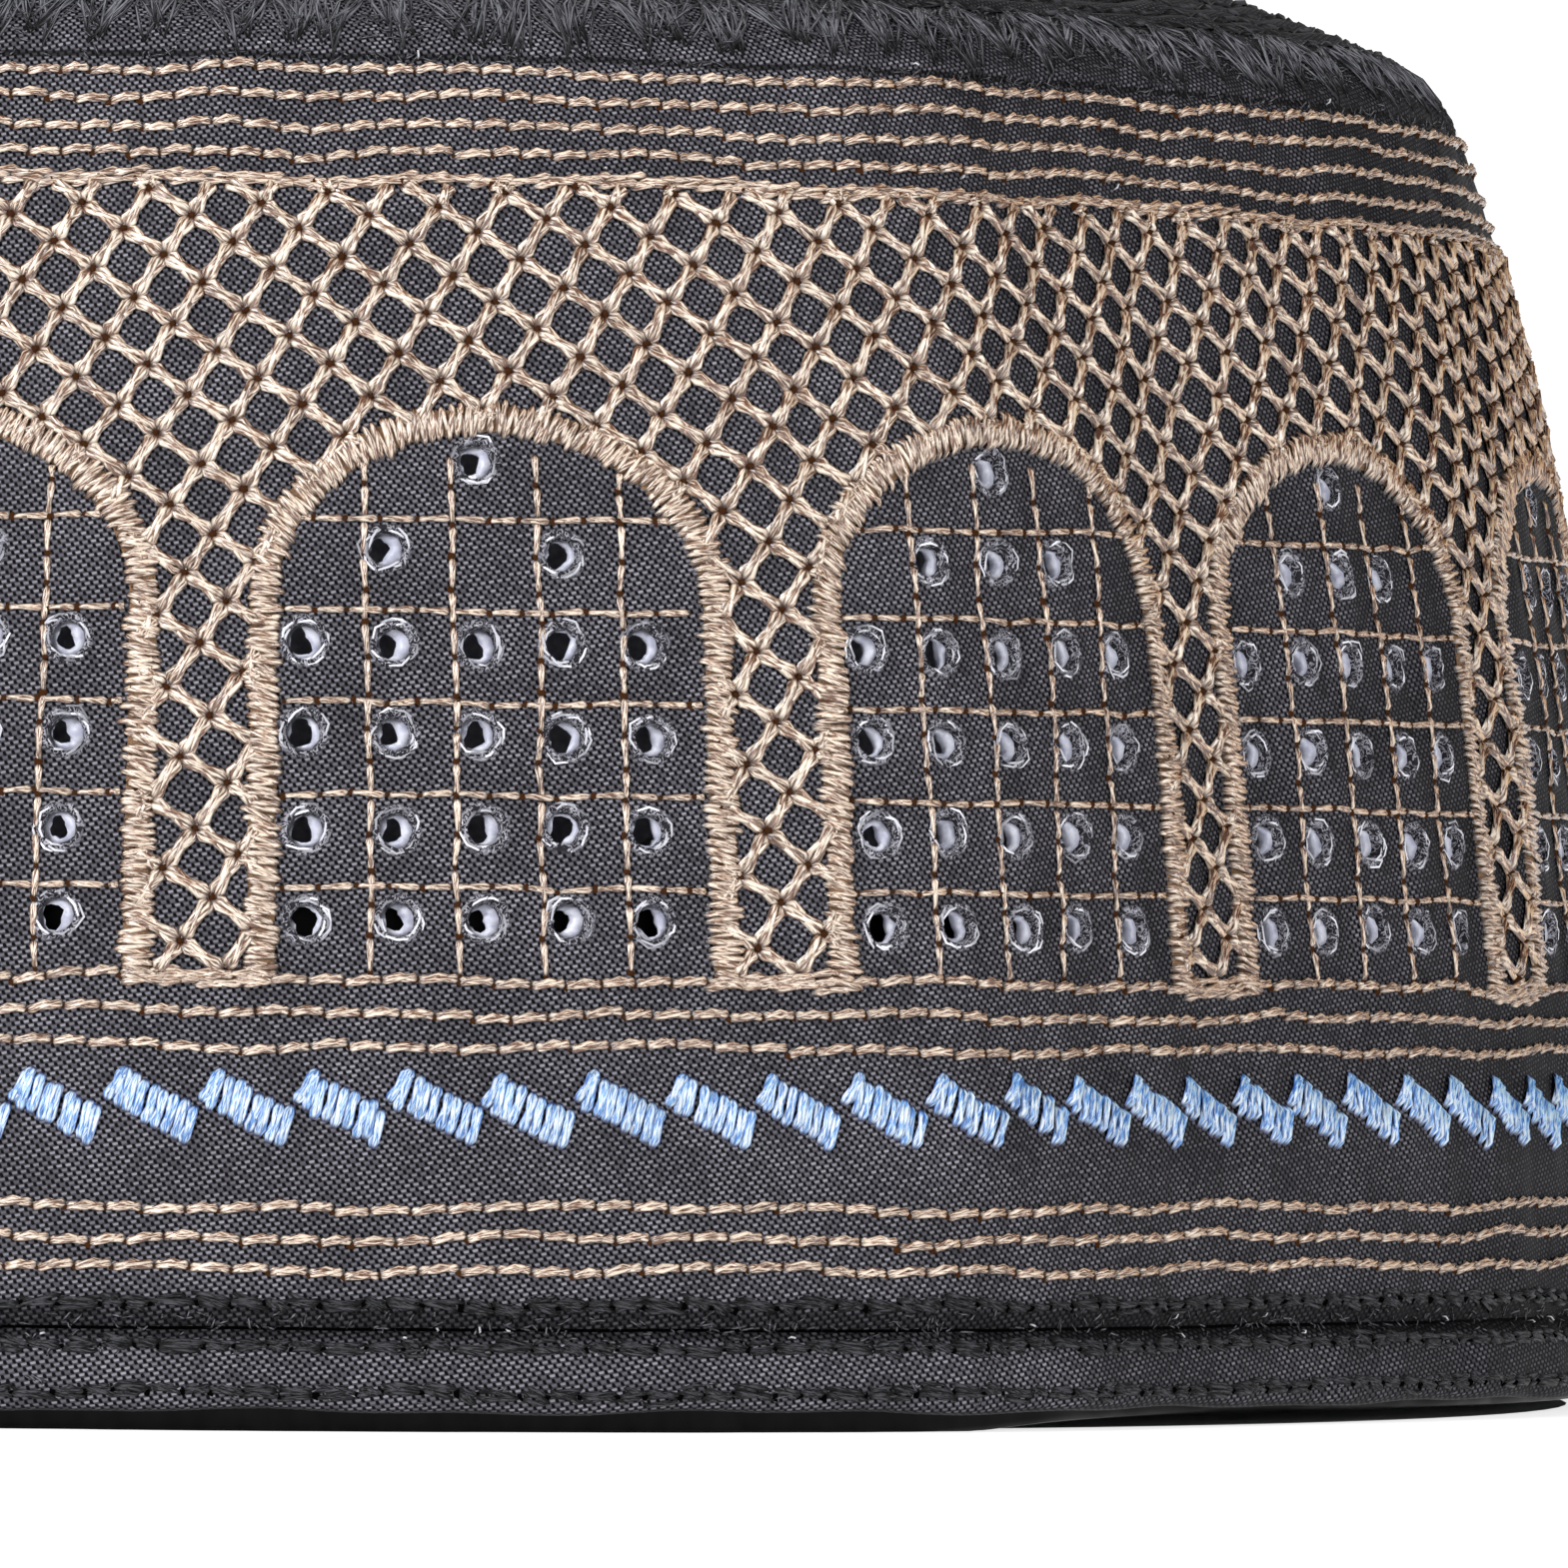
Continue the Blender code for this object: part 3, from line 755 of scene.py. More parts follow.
def thread_material(name, shaded, deep, body, highlight, rough, end_share=0.08, gloss=0.6, sheen=0.0,
                    rim="#ffffff"):
    """Twisted thread: fine filaments, darker where a stitch enters the cloth.

    The eye sees pale streaks over the body of each strand, which are painted highlights, deep
    colour in the furrows between filaments and along its sides, which is painted shade, the shaded
    colour at a stitch's ends, painted shade too, and the rim's tint where the thread is seen at a
    slant, painted shade for the side of the cap turned from the key light.
    """
    material, tree, shader = new_material(
        name, Roughness=rough, Specular_IOR_Level=gloss, Coat_Weight=sheen, Coat_Roughness=0.22
    )
    uv = add(tree, "UVMap", uv_map="thread")
    luck = add(tree, "Attribute", out="Fac", attribute_name="tone")
    place = add(tree, "SeparateXYZ", (uv,), out=None)
    twist = add(tree, "Math", (place[1], TWIST, place[0]), operation="MULTIPLY_ADD")
    stretched = add(tree, "CombineXYZ", (twist, place[1], luck))
    stretched = add(tree, "VectorMath", (stretched, FILAMENTS), operation="MULTIPLY")
    fibres = add(tree, "TexNoise", {"Vector": stretched, "Scale": 1.0, "Detail": 3.0, "Roughness": 0.6})
    # Pale streaks on the crests of the filaments: painted highlights.
    highlight_streak = add(tree, "MapRange", (fibres, 0.44, 0.55))
    colour = add(tree, "Mix", {0: highlight_streak, 6: body, 7: highlight}, out=2, data_type="RGBA")
    # Deep colour in the furrows between filaments: painted shade.
    furrow_shade = add(tree, "MapRange", {"Value": fibres, "From Min": 0.45, "From Max": 0.38, "To Max": 0.7})
    colour = add(tree, "Mix", {0: furrow_shade, 6: colour, 7: deep}, out=2, data_type="RGBA")
    from_middle = []
    for coordinate in place[:2]:
        away = add(tree, "Math", (coordinate, 0.5), operation="SUBTRACT")
        from_middle.append(add(tree, "Math", (away,), operation="ABSOLUTE"))
    # Deep colour along the sides of each strand: painted shade.
    edge = add(tree, "MapRange", {"Value": from_middle[0], "From Min": 0.22, "From Max": 0.5, "To Max": 0.8})
    colour = add(tree, "Mix", {0: edge, 6: colour, 7: deep}, out=2, data_type="RGBA")
    # The shaded colour at a stitch's ends, where it dives into the cloth: painted shade.
    ends = (from_middle[1], 0.5 - 2 * end_share, 0.5 - 0.2 * end_share)
    ends = add(tree, "MapRange", ends, interpolation_type="SMOOTHSTEP")
    colour = add(tree, "Mix", {0: ends, 6: colour, 7: shaded}, out=2, data_type="RGBA")
    # Darker and browner where the thread is seen at a slant: painted shade for the side of the cap turned
    # from the key light.
    aslant = add(tree, "LayerWeight", {"Blend": 0.5}, out="Facing")
    aslant = add(tree, "MapRange", (aslant, 0.15, 0.65))
    tint = add(tree, "Mix", {0: aslant, 6: "#ffffff", 7: rim}, out=2, data_type="RGBA")
    colour = add(tree, "VectorMath", (colour, tint), operation="MULTIPLY")
    vary = add(tree, "MapRange", {"Value": luck, "To Min": 0.82, "To Max": 1.10})
    final = add(tree, "VectorMath", (colour, vary), operation="MULTIPLY")
    tree.links.new(final, shader.inputs["Base Color"])
    bumps = add(tree, "Bump", {"Height": fibres, "Strength": 1.0, "Distance": 0.00016})
    tree.links.new(bumps, shader.inputs["Normal"])
    return material


def running_round(height, pitch, seed, wave=0.00027, gap=-0.03, slant=0.00016, uneven=0.10):
    """Starts and ends of the stitches of one level round, at slightly uneven places."""
    random = np.random.default_rng(seed)
    count = round(HEM_LENGTH / pitch)
    holes = np.arange(count + 1) + random.uniform(-uneven, uneven, count + 1)
    holes = holes / count - 0.5 + random.random() / count
    holes[-1] = holes[0] + 1
    phase = random.uniform(0, 2 * math.pi, 3)

    def level_of(share):
        drift = sum(math.sqrt(1 / n) * np.sin(2 * math.pi * n * k * share + p)
                    for n, k, p in zip((1, 2, 5), (13, 17, 11), phase))
        return float(way_up(height)) + wave * 0.6 * drift

    rise = random.uniform(0.4, 1.6, count) * slant
    start = np.column_stack([holes[:-1] + gap / 2 / count, level_of(holes[:-1]) - rise / 2])
    end = np.column_stack([holes[1:] - gap / 2 / count, level_of(holes[1:]) + rise / 2])
    jitter = random.normal(0, 0.00005, count)
    start[:, 1] += jitter
    end[:, 1] += jitter
    return start, end


def joined(rounds):
    """Starts and ends of all the stitches of several rounds."""
    return [np.concatenate([tips[k] for tips in rounds]) for k in (0, 1)]


def plied(start, end, plies, seed):
    """Every stitch once for each of its plies, and the phase at which each ply starts to wind."""
    random = np.random.default_rng(seed)
    first = np.repeat(random.uniform(0.5, 1.4, len(start))[None], plies, 0)
    phase = first + 2 * math.pi * np.arange(plies)[:, None] / plies
    return np.concatenate([start] * plies), np.concatenate([end] * plies), phase.ravel()


# Bright polyester: painted highlights, white along the crests of the plies, and painted shade,
# deep brown in the furrows.
tan_thread = thread_material(
    "tan polyester embroidery thread", shaded="#261107", deep="#3f2111", body="#88593a", highlight="#fbe8d4",
    rough=0.27, end_share=0.07, gloss=0.9, sheen=1.0, rim="#e8cbaa",
)
hole_places = []
for group, (name, heights) in enumerate(TAN_ROUNDS):
    rounds = [running_round(h, STITCH_PITCH, 40 + 10 * group + n) for n, h in enumerate(heights)]
    start, end = joined(rounds)
    hole_places.append(start)
    start, end, phase = plied(start, end, plies=3, seed=60 + group)
    piece = strands(
        name, start, end, width=THREAD, crown=0.00030, material=tan_thread, seed=80 + group,
        bow=-STITCH_ARCH, phase=phase, spread=0.00018, turns=0.65, segments=4, slender=0.75, gather=0.6,
        plump=0.42,
    )
    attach(piece, "root")

# Edge of the lattice: a thick line like a chain, of two rounds whose stitches overlap, and a
# short bar of the same between the feet of the arches.
EDGE_LEVELS = (0.0709, 0.0706)
BAR_LEVELS = (0.0249, 0.0245, 0.0242)
EDGE_OVERLAP, EDGE_SLANT = 0.35, 0.00030  # share of a stitch that lies beside the next one, and its slant


def from_arch(share, way):
    """How far aside of its arch's middle and over its spring a place is, as shares of the arch."""
    aside = (((share - FIRST_ARCH) * PANELS + 0.5) % 1 - 0.5) / (ARCH_HALF * PANELS)
    over = np.clip((np.interp(way, PATH_WAY, PATH_RISE) - ARCH_SPRING) / ARCH_RISE, 0, None)
    return aside, over


edge_rounds = []
for seed, height in zip((90, 91, 95, 96, 97), EDGE_LEVELS + BAR_LEVELS):
    start, end = running_round(height, STITCH_PITCH, seed, gap=-EDGE_OVERLAP, slant=EDGE_SLANT)
    if height in BAR_LEVELS:
        between = np.abs(from_arch(*((start + end) / 2).T)[0]) > 1
        start, end = start[between], end[between]
    edge_rounds.append((start, end))
start, end, phase = plied(*joined(edge_rounds), plies=3, seed=64)
lattice_edge = strands(
    "lattice_edge", start, end, width=THREAD, crown=0.00030, material=tan_thread, seed=84, phase=phase,
    spread=0.00017, turns=0.8,
)
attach(lattice_edge, "root")

# Blue zigzag: blocks of eight slanted stitches of pale blue thread, three plies each, that step
# down to the right, each block joined to the next by two stitches that slant more.
BLUE_BLOCKS = 103
BLUE_FIRST = -0.01829  # share of the way round at the first peak
BLUE_STITCHES, BLUE_PLIES = 8, 3
BLUE_TOP, BLUE_DROP = 0.0194, 0.00029  # height of the first stitch, and step down to each next
BLUE_STEP, BLUE_SLANT, BLUE_TALL = 0.00057, 0.00072, 0.00232
BLUE_LINKS = (  # start and end of the joining stitches, right of and above a block's first stitch
    (-0.00128, -0.00185, -0.00012, 0.0),
    (-0.00105, -0.00165, 0.00008, 0.0001),
)

# The same kind of thread in pale blue: painted highlights nearly white on the crests, painted
# shade dark blue in the furrows.
blue_thread = thread_material(
    "pale blue embroidery thread", shaded="#141f55", deep="#2450ac", body="#72b5f7", highlight="#ecf7ff",
    rough=0.28, end_share=0.06, gloss=0.8, sheen=0.8, rim="#d6f2ff",
)
random = np.random.default_rng(5)
blue_stitches = []
for block in range(BLUE_BLOCKS):
    sway = random.normal(0, 0.00010)
    lines = [(x0, BLUE_TOP + y0, x1, BLUE_TOP + y1) for x0, y0, x1, y1 in BLUE_LINKS]
    for number in range(BLUE_STITCHES):
        x, y = number * BLUE_STEP + random.normal(0, 0.00005), BLUE_TOP - number * BLUE_DROP
        y += random.normal(0, 0.00008)
        lines.append((x - BLUE_SLANT, y - BLUE_TALL, x, y))
    lines = np.array(lines) + random.normal(0, 0.00004, (len(lines), 4)) + np.array([0, sway, 0, sway])
    share = BLUE_FIRST + block / BLUE_BLOCKS + lines[:, 0::2] / HEM_LENGTH
    way = way_up(lines[:, 1::2])
    blue_stitches.append([np.column_stack([share[:, k], way[:, k]]) for k in (0, 1)])
start, end, phase = plied(*joined(blue_stitches), BLUE_PLIES, seed=6)
blue = strands(
    "blue_zigzag", start, end, width=0.00036, crown=0.00036, material=blue_thread, seed=90,
    bow=random.normal(0, 0.00003, len(start)), phase=phase, spread=0.00023, turns=0.45, slender=0.65,
)
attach(blue, "root")

# Diamond lattice: square net of fat tan stitches, four plies each, turned so that it repeats
# about three times over each arch. It fills the wall above and between the arches.
LATTICE_TOP, LATTICE_FOOT = 0.0706, 0.0249
LATTICE_REPEATS = 49
LATTICE_MIDDLE = 0.058  # height at which the net is as wide as it is tall
LATTICE_START = (-0.00021, 0.0003)  # its first node, right of the front and over the lattice's edge
LATTICE_UNEVEN = 0.00030
LATTICE_PLIES = 4
SHORTEST = 0.0006  # a cut stitch shorter than this is left out
NODES_EACH_WAY = 800
PAST_EDGE = 0.004  # nodes this far past the lattice's edges are kept, as stitches start from them

lattice_pitch = HEM_LENGTH / LATTICE_REPEATS * float(np.interp(LATTICE_MIDDLE, PATH_RISE, PATH_SIZE))
lattice_side = lattice_pitch / math.sqrt(13)


def in_lattice(share, way):
    """Whether a place lies in the lattice: above the arches and between their legs."""
    height = np.interp(way, PATH_WAY, PATH_RISE)
    aside, over = from_arch(share, way)
    return (height < LATTICE_TOP) & (height > LATTICE_FOOT) & (aside**2 + over**2 > 1)


def cut_to(inside, start, end):
    """Shortens each stitch that crosses the edge of the region, and drops those outside it."""
    first, last = inside(*start.T), inside(*end.T)
    middle = (start + end) / 2
    keep = first | last | inside(*middle.T)
    start, end, first, last, middle = (a[keep] for a in (start, end, first, last, middle))
    anchor = np.where(first[:, None], start, np.where(last[:, None], end, middle))
    cut = []
    for tip, whole in ((start, first), (end, last)):
        inner, outer = anchor.copy(), tip.copy()
        for _ in range(12):
            half = (inner + outer) / 2
            good = inside(*half.T)[:, None]
            inner, outer = np.where(good, half, inner), np.where(good, outer, half)
        cut.append(np.where(whole[:, None], tip, inner))
    start, end = cut
    long_enough = np.hypot((end[:, 0] - start[:, 0]) * HEM_LENGTH, end[:, 1] - start[:, 1]) > SHORTEST
    return start[long_enough], end[long_enough]


low_way, high_way = float(way_up(LATTICE_FOOT)), float(way_up(LATTICE_TOP))
step_right = np.array([3 * lattice_side / math.sqrt(13), -2 * lattice_side / math.sqrt(13)])
step_up = np.array([2 * lattice_side / math.sqrt(13), 3 * lattice_side / math.sqrt(13)])
lattice_start = np.array([LATTICE_START[0], high_way + LATTICE_START[1]])
a, b = np.meshgrid(np.arange(-NODES_EACH_WAY, NODES_EACH_WAY), np.arange(-NODES_EACH_WAY, NODES_EACH_WAY))
node = a[..., None] * step_right + b[..., None] * step_up + lattice_start
node_share = node[..., 0] / (lattice_pitch * LATTICE_REPEATS)
near = (node[..., 1] > low_way - PAST_EDGE) & (node[..., 1] < high_way + PAST_EDGE)
near &= (node_share >= -0.5 - 1e-9) & (node_share < 0.5 - 1e-9)
a, b = a[near], b[near]


def node_at(a, b):
    """A node of the net in share and distance up, slightly off its place, the same each time."""
    x = a * step_right[0] + b * step_up[0] + lattice_start[0]
    y = a * step_right[1] + b * step_up[1] + lattice_start[1]
    off = [np.sin(a * 12.9898 + b * 78.233 + k) * 43758.5453 % 1 - 0.5 for k in (0, 1)]
    share = x / (lattice_pitch * LATTICE_REPEATS)
    return np.column_stack([share + off[0] * LATTICE_UNEVEN / HEM_LENGTH, y + off[1] * LATTICE_UNEVEN])


# The same thread, whose painted shade at the ends, where it is gathered at the nodes, is brown
# rather than nearly black.
lattice_thread = thread_material(
    "fat tan polyester embroidery thread", shaded="#4a2612", deep="#3f2111", body="#88593a",
    highlight="#fdeedb", rough=0.27, end_share=0.085, gloss=0.9, sheen=1.0, rim="#e8cbaa",
)
for name, (da, db), seed in (("lattice_falling", (1, 0), 31), ("lattice_rising", (0, 1), 32)):
    start, end = cut_to(in_lattice, node_at(a, b), node_at(a + da, b + db))
    if da:
        lattice_nodes = start
    random = np.random.default_rng(seed)
    ends = []
    for tip, other in ((start, end), (end, start)):
        ends.append(tip + (other - tip) * random.uniform(0.01, 0.06, (len(start), 1)))
    start, end, phase = plied(*ends, LATTICE_PLIES, seed)
    piece = strands(
        name, start, end, width=0.00045, crown=0.00032, material=lattice_thread, seed=seed,
        bow=random.normal(0, 0.00004, len(start)), phase=phase, spread=0.00035, turns=0.55, slender=0.85,
        gather=0.6,
    )
    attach(piece, "root")

# Satin borders of the arches: tan thread laid side by side across a band two millimetres wide,
# up one leg, round the arch and down the other, with slightly ragged edges. Under it lies a
# flat first layer of the same thread.
SATIN_WIDTH, SATIN_STEP = 0.00205, 0.00025
SATIN_RIGHT = 0.00020  # the borders were sewn this much further right than the arch's middle
SATIN_BUNDLE, SATIN_BUNDLES = 0.002, 50  # the slant of the threads changes about every two millimetres
SATIN_ZIGZAG = 0.00013  # every second thread slants the other way by this much
SATIN_AHEAD = 0.0006  # the way between two places this far ahead and back gives the border's heading
UNDERLAY_LOOPS, UNDERLAY_LIFTS = 84, (-0.00005, 0.00016, 0.00020, 0.00016, -0.00005)
UNDERLAY_HALF = 0.42  # half its width as a share of the border's

foot_way = float(way_up(ARCH_BASE - 0.0003))
half_round = np.linspace(math.pi, 0, 181)
border_share = np.concatenate([[-ARCH_HALF], -ARCH_HALF * -np.cos(half_round), [ARCH_HALF]])
border_way = np.concatenate([[foot_way], way_up(ARCH_SPRING + ARCH_RISE * np.sin(half_round)), [foot_way]])
border_x = border_share * length_round(border_way)
distance = np.concatenate([[0], np.cumsum(np.hypot(np.diff(border_x), np.diff(border_way)))])


def border_at(at):
    """Places along the border's middle line, in metres right of the arch's middle and up."""
    return np.column_stack([np.interp(at, distance, border_x), np.interp(at, distance, border_way)])


threads = round(distance[-1] / SATIN_STEP)
random = np.random.default_rng(17)
satin_tips = []
for panel in range(PANELS):
    at = (np.arange(threads) + random.uniform(-0.25, 0.25, threads)) / threads * distance[-1]
    middle, later, before = border_at(at), border_at(at + SATIN_AHEAD), border_at(at - SATIN_AHEAD)
    along = (later - before) / np.linalg.norm(later - before, axis=1, keepdims=True)
    square = np.column_stack([-along[:, 1], along[:, 0]])
    bundles = random.uniform(-0.00008, 0.00030, 2 * SATIN_BUNDLES)[:SATIN_BUNDLES]
    slants = np.interp(at, np.arange(SATIN_BUNDLES) * SATIN_BUNDLE, bundles)
    slants = (slants + SATIN_ZIGZAG * np.where(np.arange(threads) % 2, 1, -1))[:, None]
    tips = []
    for side in (-1, 1):
        reach_out = SATIN_WIDTH / 2 + np.repeat(random.normal(0, 0.00014, (threads, 1)), 2, 0)[:threads]
        reach_out = reach_out + random.normal(0, 0.00006, (threads, 1))
        slant = slants + random.normal(0, 0.00005, (threads, 1))
        tip = middle + square * side * reach_out + along * side * slant
        share = FIRST_ARCH + panel / PANELS + (tip[:, 0] + SATIN_RIGHT) / length_round(tip[:, 1])
        tips.append(np.column_stack([share, tip[:, 1]]))
    satin_tips.append(tips)
at = np.linspace(0, distance[-1], UNDERLAY_LOOPS)
x, y = border_at(at).T
along = np.column_stack([np.gradient(x), np.gradient(y)])
along /= np.linalg.norm(along, axis=1, keepdims=True)
aside = np.linspace(-UNDERLAY_HALF, UNDERLAY_HALF, len(UNDERLAY_LIFTS)) * SATIN_WIDTH
x, y = x[:, None] - along[:, 1:] * aside, y[:, None] + along[:, :1] * aside
share = FIRST_ARCH + (x + SATIN_RIGHT) / length_round(y)
share = share[None] + (np.arange(PANELS) / PANELS)[:, None, None]
points = on_cloth(share, np.broadcast_to(y, share.shape), np.array(UNDERLAY_LIFTS))[0].reshape(-1, 3)
one = grid_faces(UNDERLAY_LOOPS, len(UNDERLAY_LIFTS), False)
faces = (one[None] + (np.arange(PANELS) * at.size * aside.size)[:, None, None]).reshape(-1, 4)[:, ::-1]


def underlay_threads(tree):
    """Threads of the first layer and the dark gaps between them, about one in 0.4 mm."""
    return add(tree, "TexNoise", {"Scale": 2600.0, "Detail": 2.0})


# The same thread in the shade of the upper layer: matt, and mottled from dark to mid brown.
underlay_thread = toned_material(
    "tan thread under the satin stitches", underlay_threads, dark="#3a2112", pale="#a07b58", ends=(0.4, 0.6),
    Roughness=0.8,
)
underlay = mesh_piece("satin_underlay", points, faces, underlay_thread)
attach(underlay, "root")
satin = strands(
    "satin_borders", *joined(satin_tips), width=0.00036,
    crown=random.uniform(0.00030, 0.00056, threads * PANELS), material=tan_thread, seed=33,
    bow=random.normal(0, 0.00005, threads * PANELS), slender=0.6,
)
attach(satin, "root")

# Grid inside the arches: the same tan thread in fine running stitches, upright and level,
# with an eyelet in each cell.
GRID_PITCH = 0.00200
GRID_RIGHT = 0.00040  # the grid was sewn this much further right than the arch's middle
GRID_HALF = 0.0145  # how far a level line reaches before it is cut to the arch
GRID_UPRIGHTS = (-1.5, -0.5, 0.5, 1.5)  # in cells from the arch's middle
GRID_LEVELS = range(1, 6)  # in cells from its base
GRID_WAVER, GRID_UNEVEN = 0.00008, 0.0002  # how far its holes are off the line, and along it
UPRIGHT_GAP, LEVEL_GAP = 0.00012, 0.00010


def in_arch(share, way):
    """Whether a place lies inside an arch, within its border."""
    aside, over = from_arch(share, way)
    return (np.interp(way, PATH_WAY, PATH_RISE) > ARCH_BASE - 0.0002) & (aside**2 + over**2 < 0.88)


random = np.random.default_rng(19)
grid_lines = []
for panel in range(PANELS):
    middle = FIRST_ARCH + panel / PANELS + GRID_RIGHT / HEM_LENGTH
    for cells in GRID_UPRIGHTS:
        heights = np.arange(ARCH_BASE + 0.0004, ARCH_SPRING + ARCH_RISE, GRID_PITCH)
        heights = heights + random.uniform(-GRID_UNEVEN, GRID_UNEVEN, len(heights))
        share = middle + cells * CELL_WIDTH / (HEM_LENGTH * np.interp(heights, PATH_RISE, PATH_SIZE))
        share = share + random.normal(0, GRID_WAVER, len(share)) / HEM_LENGTH
        line = np.column_stack([share, way_up(heights)])
        grid_lines.append((line[:-1], line[1:] - [0, UPRIGHT_GAP]))
    for cells in GRID_LEVELS:
        height = ARCH_BASE + cells * CELL_HEIGHT
        x = np.arange(-GRID_HALF, GRID_HALF, GRID_PITCH)
        x = x + random.uniform(-GRID_UNEVEN, GRID_UNEVEN, len(x))
        share = middle + x / (HEM_LENGTH * float(np.interp(height, PATH_RISE, PATH_SIZE)))
        line = np.column_stack([share, way_up(height + random.normal(0, GRID_WAVER, len(x)))])
        grid_lines.append((line[:-1], line[1:] - [LEVEL_GAP / HEM_LENGTH, 0]))
start, end = cut_to(in_arch, *joined(grid_lines))
hole_places.append(start)
start, end, phase = plied(start, end, plies=2, seed=23)
grid = strands(
    "arch_grids", start, end, width=0.00029, crown=0.00022, material=tan_thread, seed=34, phase=phase,
    spread=0.00012,
)
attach(grid, "root")

# Needle holes: where each tan stitch enters the cloth, the thread turns down in deep shade and
# shows as a small dark brown knot. The knots where four lattice stitches meet are larger.
KNOT_RADIUS, KNOT_HEIGHT = 0.00024, 0.00022
NODE_RADIUS, NODE_HEIGHT = 0.00026, 0.00050
KNOT_SIDES = 5


def small_knots(name, places, radius, height, material, seed):
    """Low uneven domes of thread, one at each place."""
    random = np.random.default_rng(seed)
    turn = np.linspace(0, 2 * math.pi, KNOT_SIDES, endpoint=False)
    around = length_round(places[:, 1])[:, None]
    size = radius * random.uniform(0.6, 1.7, (len(places), KNOT_SIDES))
    share = np.column_stack([places[:, :1] + size * np.cos(turn) / around, places[:, :1]])
    way = np.column_stack([places[:, 1:] + size * np.sin(turn), places[:, 1:]])
    points = on_cloth(share, way, np.append(np.full(KNOT_SIDES, -0.00004), height)[None])[0].reshape(-1, 3)
    corner = np.arange(KNOT_SIDES)
    one = np.column_stack([corner, (corner + 1) % KNOT_SIDES, np.full(KNOT_SIDES, KNOT_SIDES)])
    faces = (one[None] + (np.arange(len(places)) * (KNOT_SIDES + 1))[:, None, None]).reshape(-1, 3)
    return mesh_piece(name, points, faces, material)


def diving_fibres(tree):
    """Single fibres of a thread that dives into the cloth, about one in 0.25 mm."""
    return add(tree, "TexNoise", {"Scale": 4000.0})


# The tan thread where hardly any light reaches it: matt dark brown, mottled by its fibres.
tan_in_shade = toned_material(
    "tan thread in deep shade", diving_fibres, dark="#1c0c05", pale="#52331e", Roughness=0.9,
    Specular_IOR_Level=0.0,
)
hole_places = np.concatenate(hole_places)
needle_holes = small_knots("needle_holes", hole_places, KNOT_RADIUS, KNOT_HEIGHT, tan_in_shade, seed=29)
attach(needle_holes, "root")
lattice_knots = small_knots("lattice_knots", lattice_nodes, NODE_RADIUS, NODE_HEIGHT, tan_in_shade, seed=30)
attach(lattice_knots, "root")

# Seams of the hem: three rounds of fuzzy black sewing thread, one above the ditch and two on
# the band. Each stitch is a loose bundle of six plies between two black pits.
HEM_ROUNDS = (0.0061, 0.0037, 0.0011)
BLACK_PLIES, BLACK_PITCH = 6, HEM_LENGTH / 300
BLACK_LOOSE, BLACK_SLANT = 0.00020, 0.00015  # how far a ply's ends stray, and how much a stitch slants
PIT_RADIUS, PIT_HEIGHT = 0.00023, 0.00026

# Spun polyester, matt: a nearly even black with faint grey streaks of painted highlight on its fibres.
black_thread = thread_material(
    "black spun sewing thread", shaded="#010101", deep="#020202", body="#060607", highlight="#4b4b50",
    rough=0.45, end_share=0.15, gloss=0.2,
)
random = np.random.default_rng(47)
black_stitches, seam_pits = [], []
for number, height in enumerate(HEM_ROUNDS):
    first, last = running_round(height, BLACK_PITCH, 100 + number, wave=0.00010, gap=0.04, uneven=0.26)
    seam_pits.append(first)
    for ply in range(BLACK_PLIES):
        stray = random.normal(0, BLACK_LOOSE, (4, len(first)))
        black_stitches.append((
            first + np.column_stack([stray[0] / HEM_LENGTH, BLACK_SLANT + stray[1]]),
            last + np.column_stack([stray[2] / HEM_LENGTH, -BLACK_SLANT + stray[3]]),
        ))
start, end = joined(black_stitches)
hem_seams = strands(
    "hem_seams", start, end, width=0.00028, crown=random.uniform(0.00010, 0.00028, len(start)),
    material=black_thread, seed=48, bow=random.normal(0, 0.00022, len(start)),
)
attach(hem_seams, "root")
# The same thread where hardly any light reaches it: matt, nearly even black.
black_in_shade = toned_material(
    "black thread in deep shade", diving_fibres, dark="#010101", pale="#080809", Roughness=0.9,
    Specular_IOR_Level=0.0,
)
seam_pits = np.concatenate(seam_pits)
hem_pits = small_knots("hem_pits", seam_pits, PIT_RADIUS, PIT_HEIGHT, black_in_shade, seed=49)
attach(hem_pits, "root")

# Zigzag of the rim: tall, fuzzy zigzag stitches of charcoal sewing thread, spun like the black
# one. They hold the binding down, from just above the first tan round to well over the corner.
RIM_ZIGZAGS, RIM_PLIES = 140, 10
RIM_FOOT, RIM_HEAD = float(way_up(0.0793)), WAY_TO_RIM + 0.0024
RIM_STRAY = (0.0007, 0.0004)  # how far a corner of the zigzag is off its place, across and up
RIM_LOOSE = (0.00050, 0.00060)  # the same for a ply of it

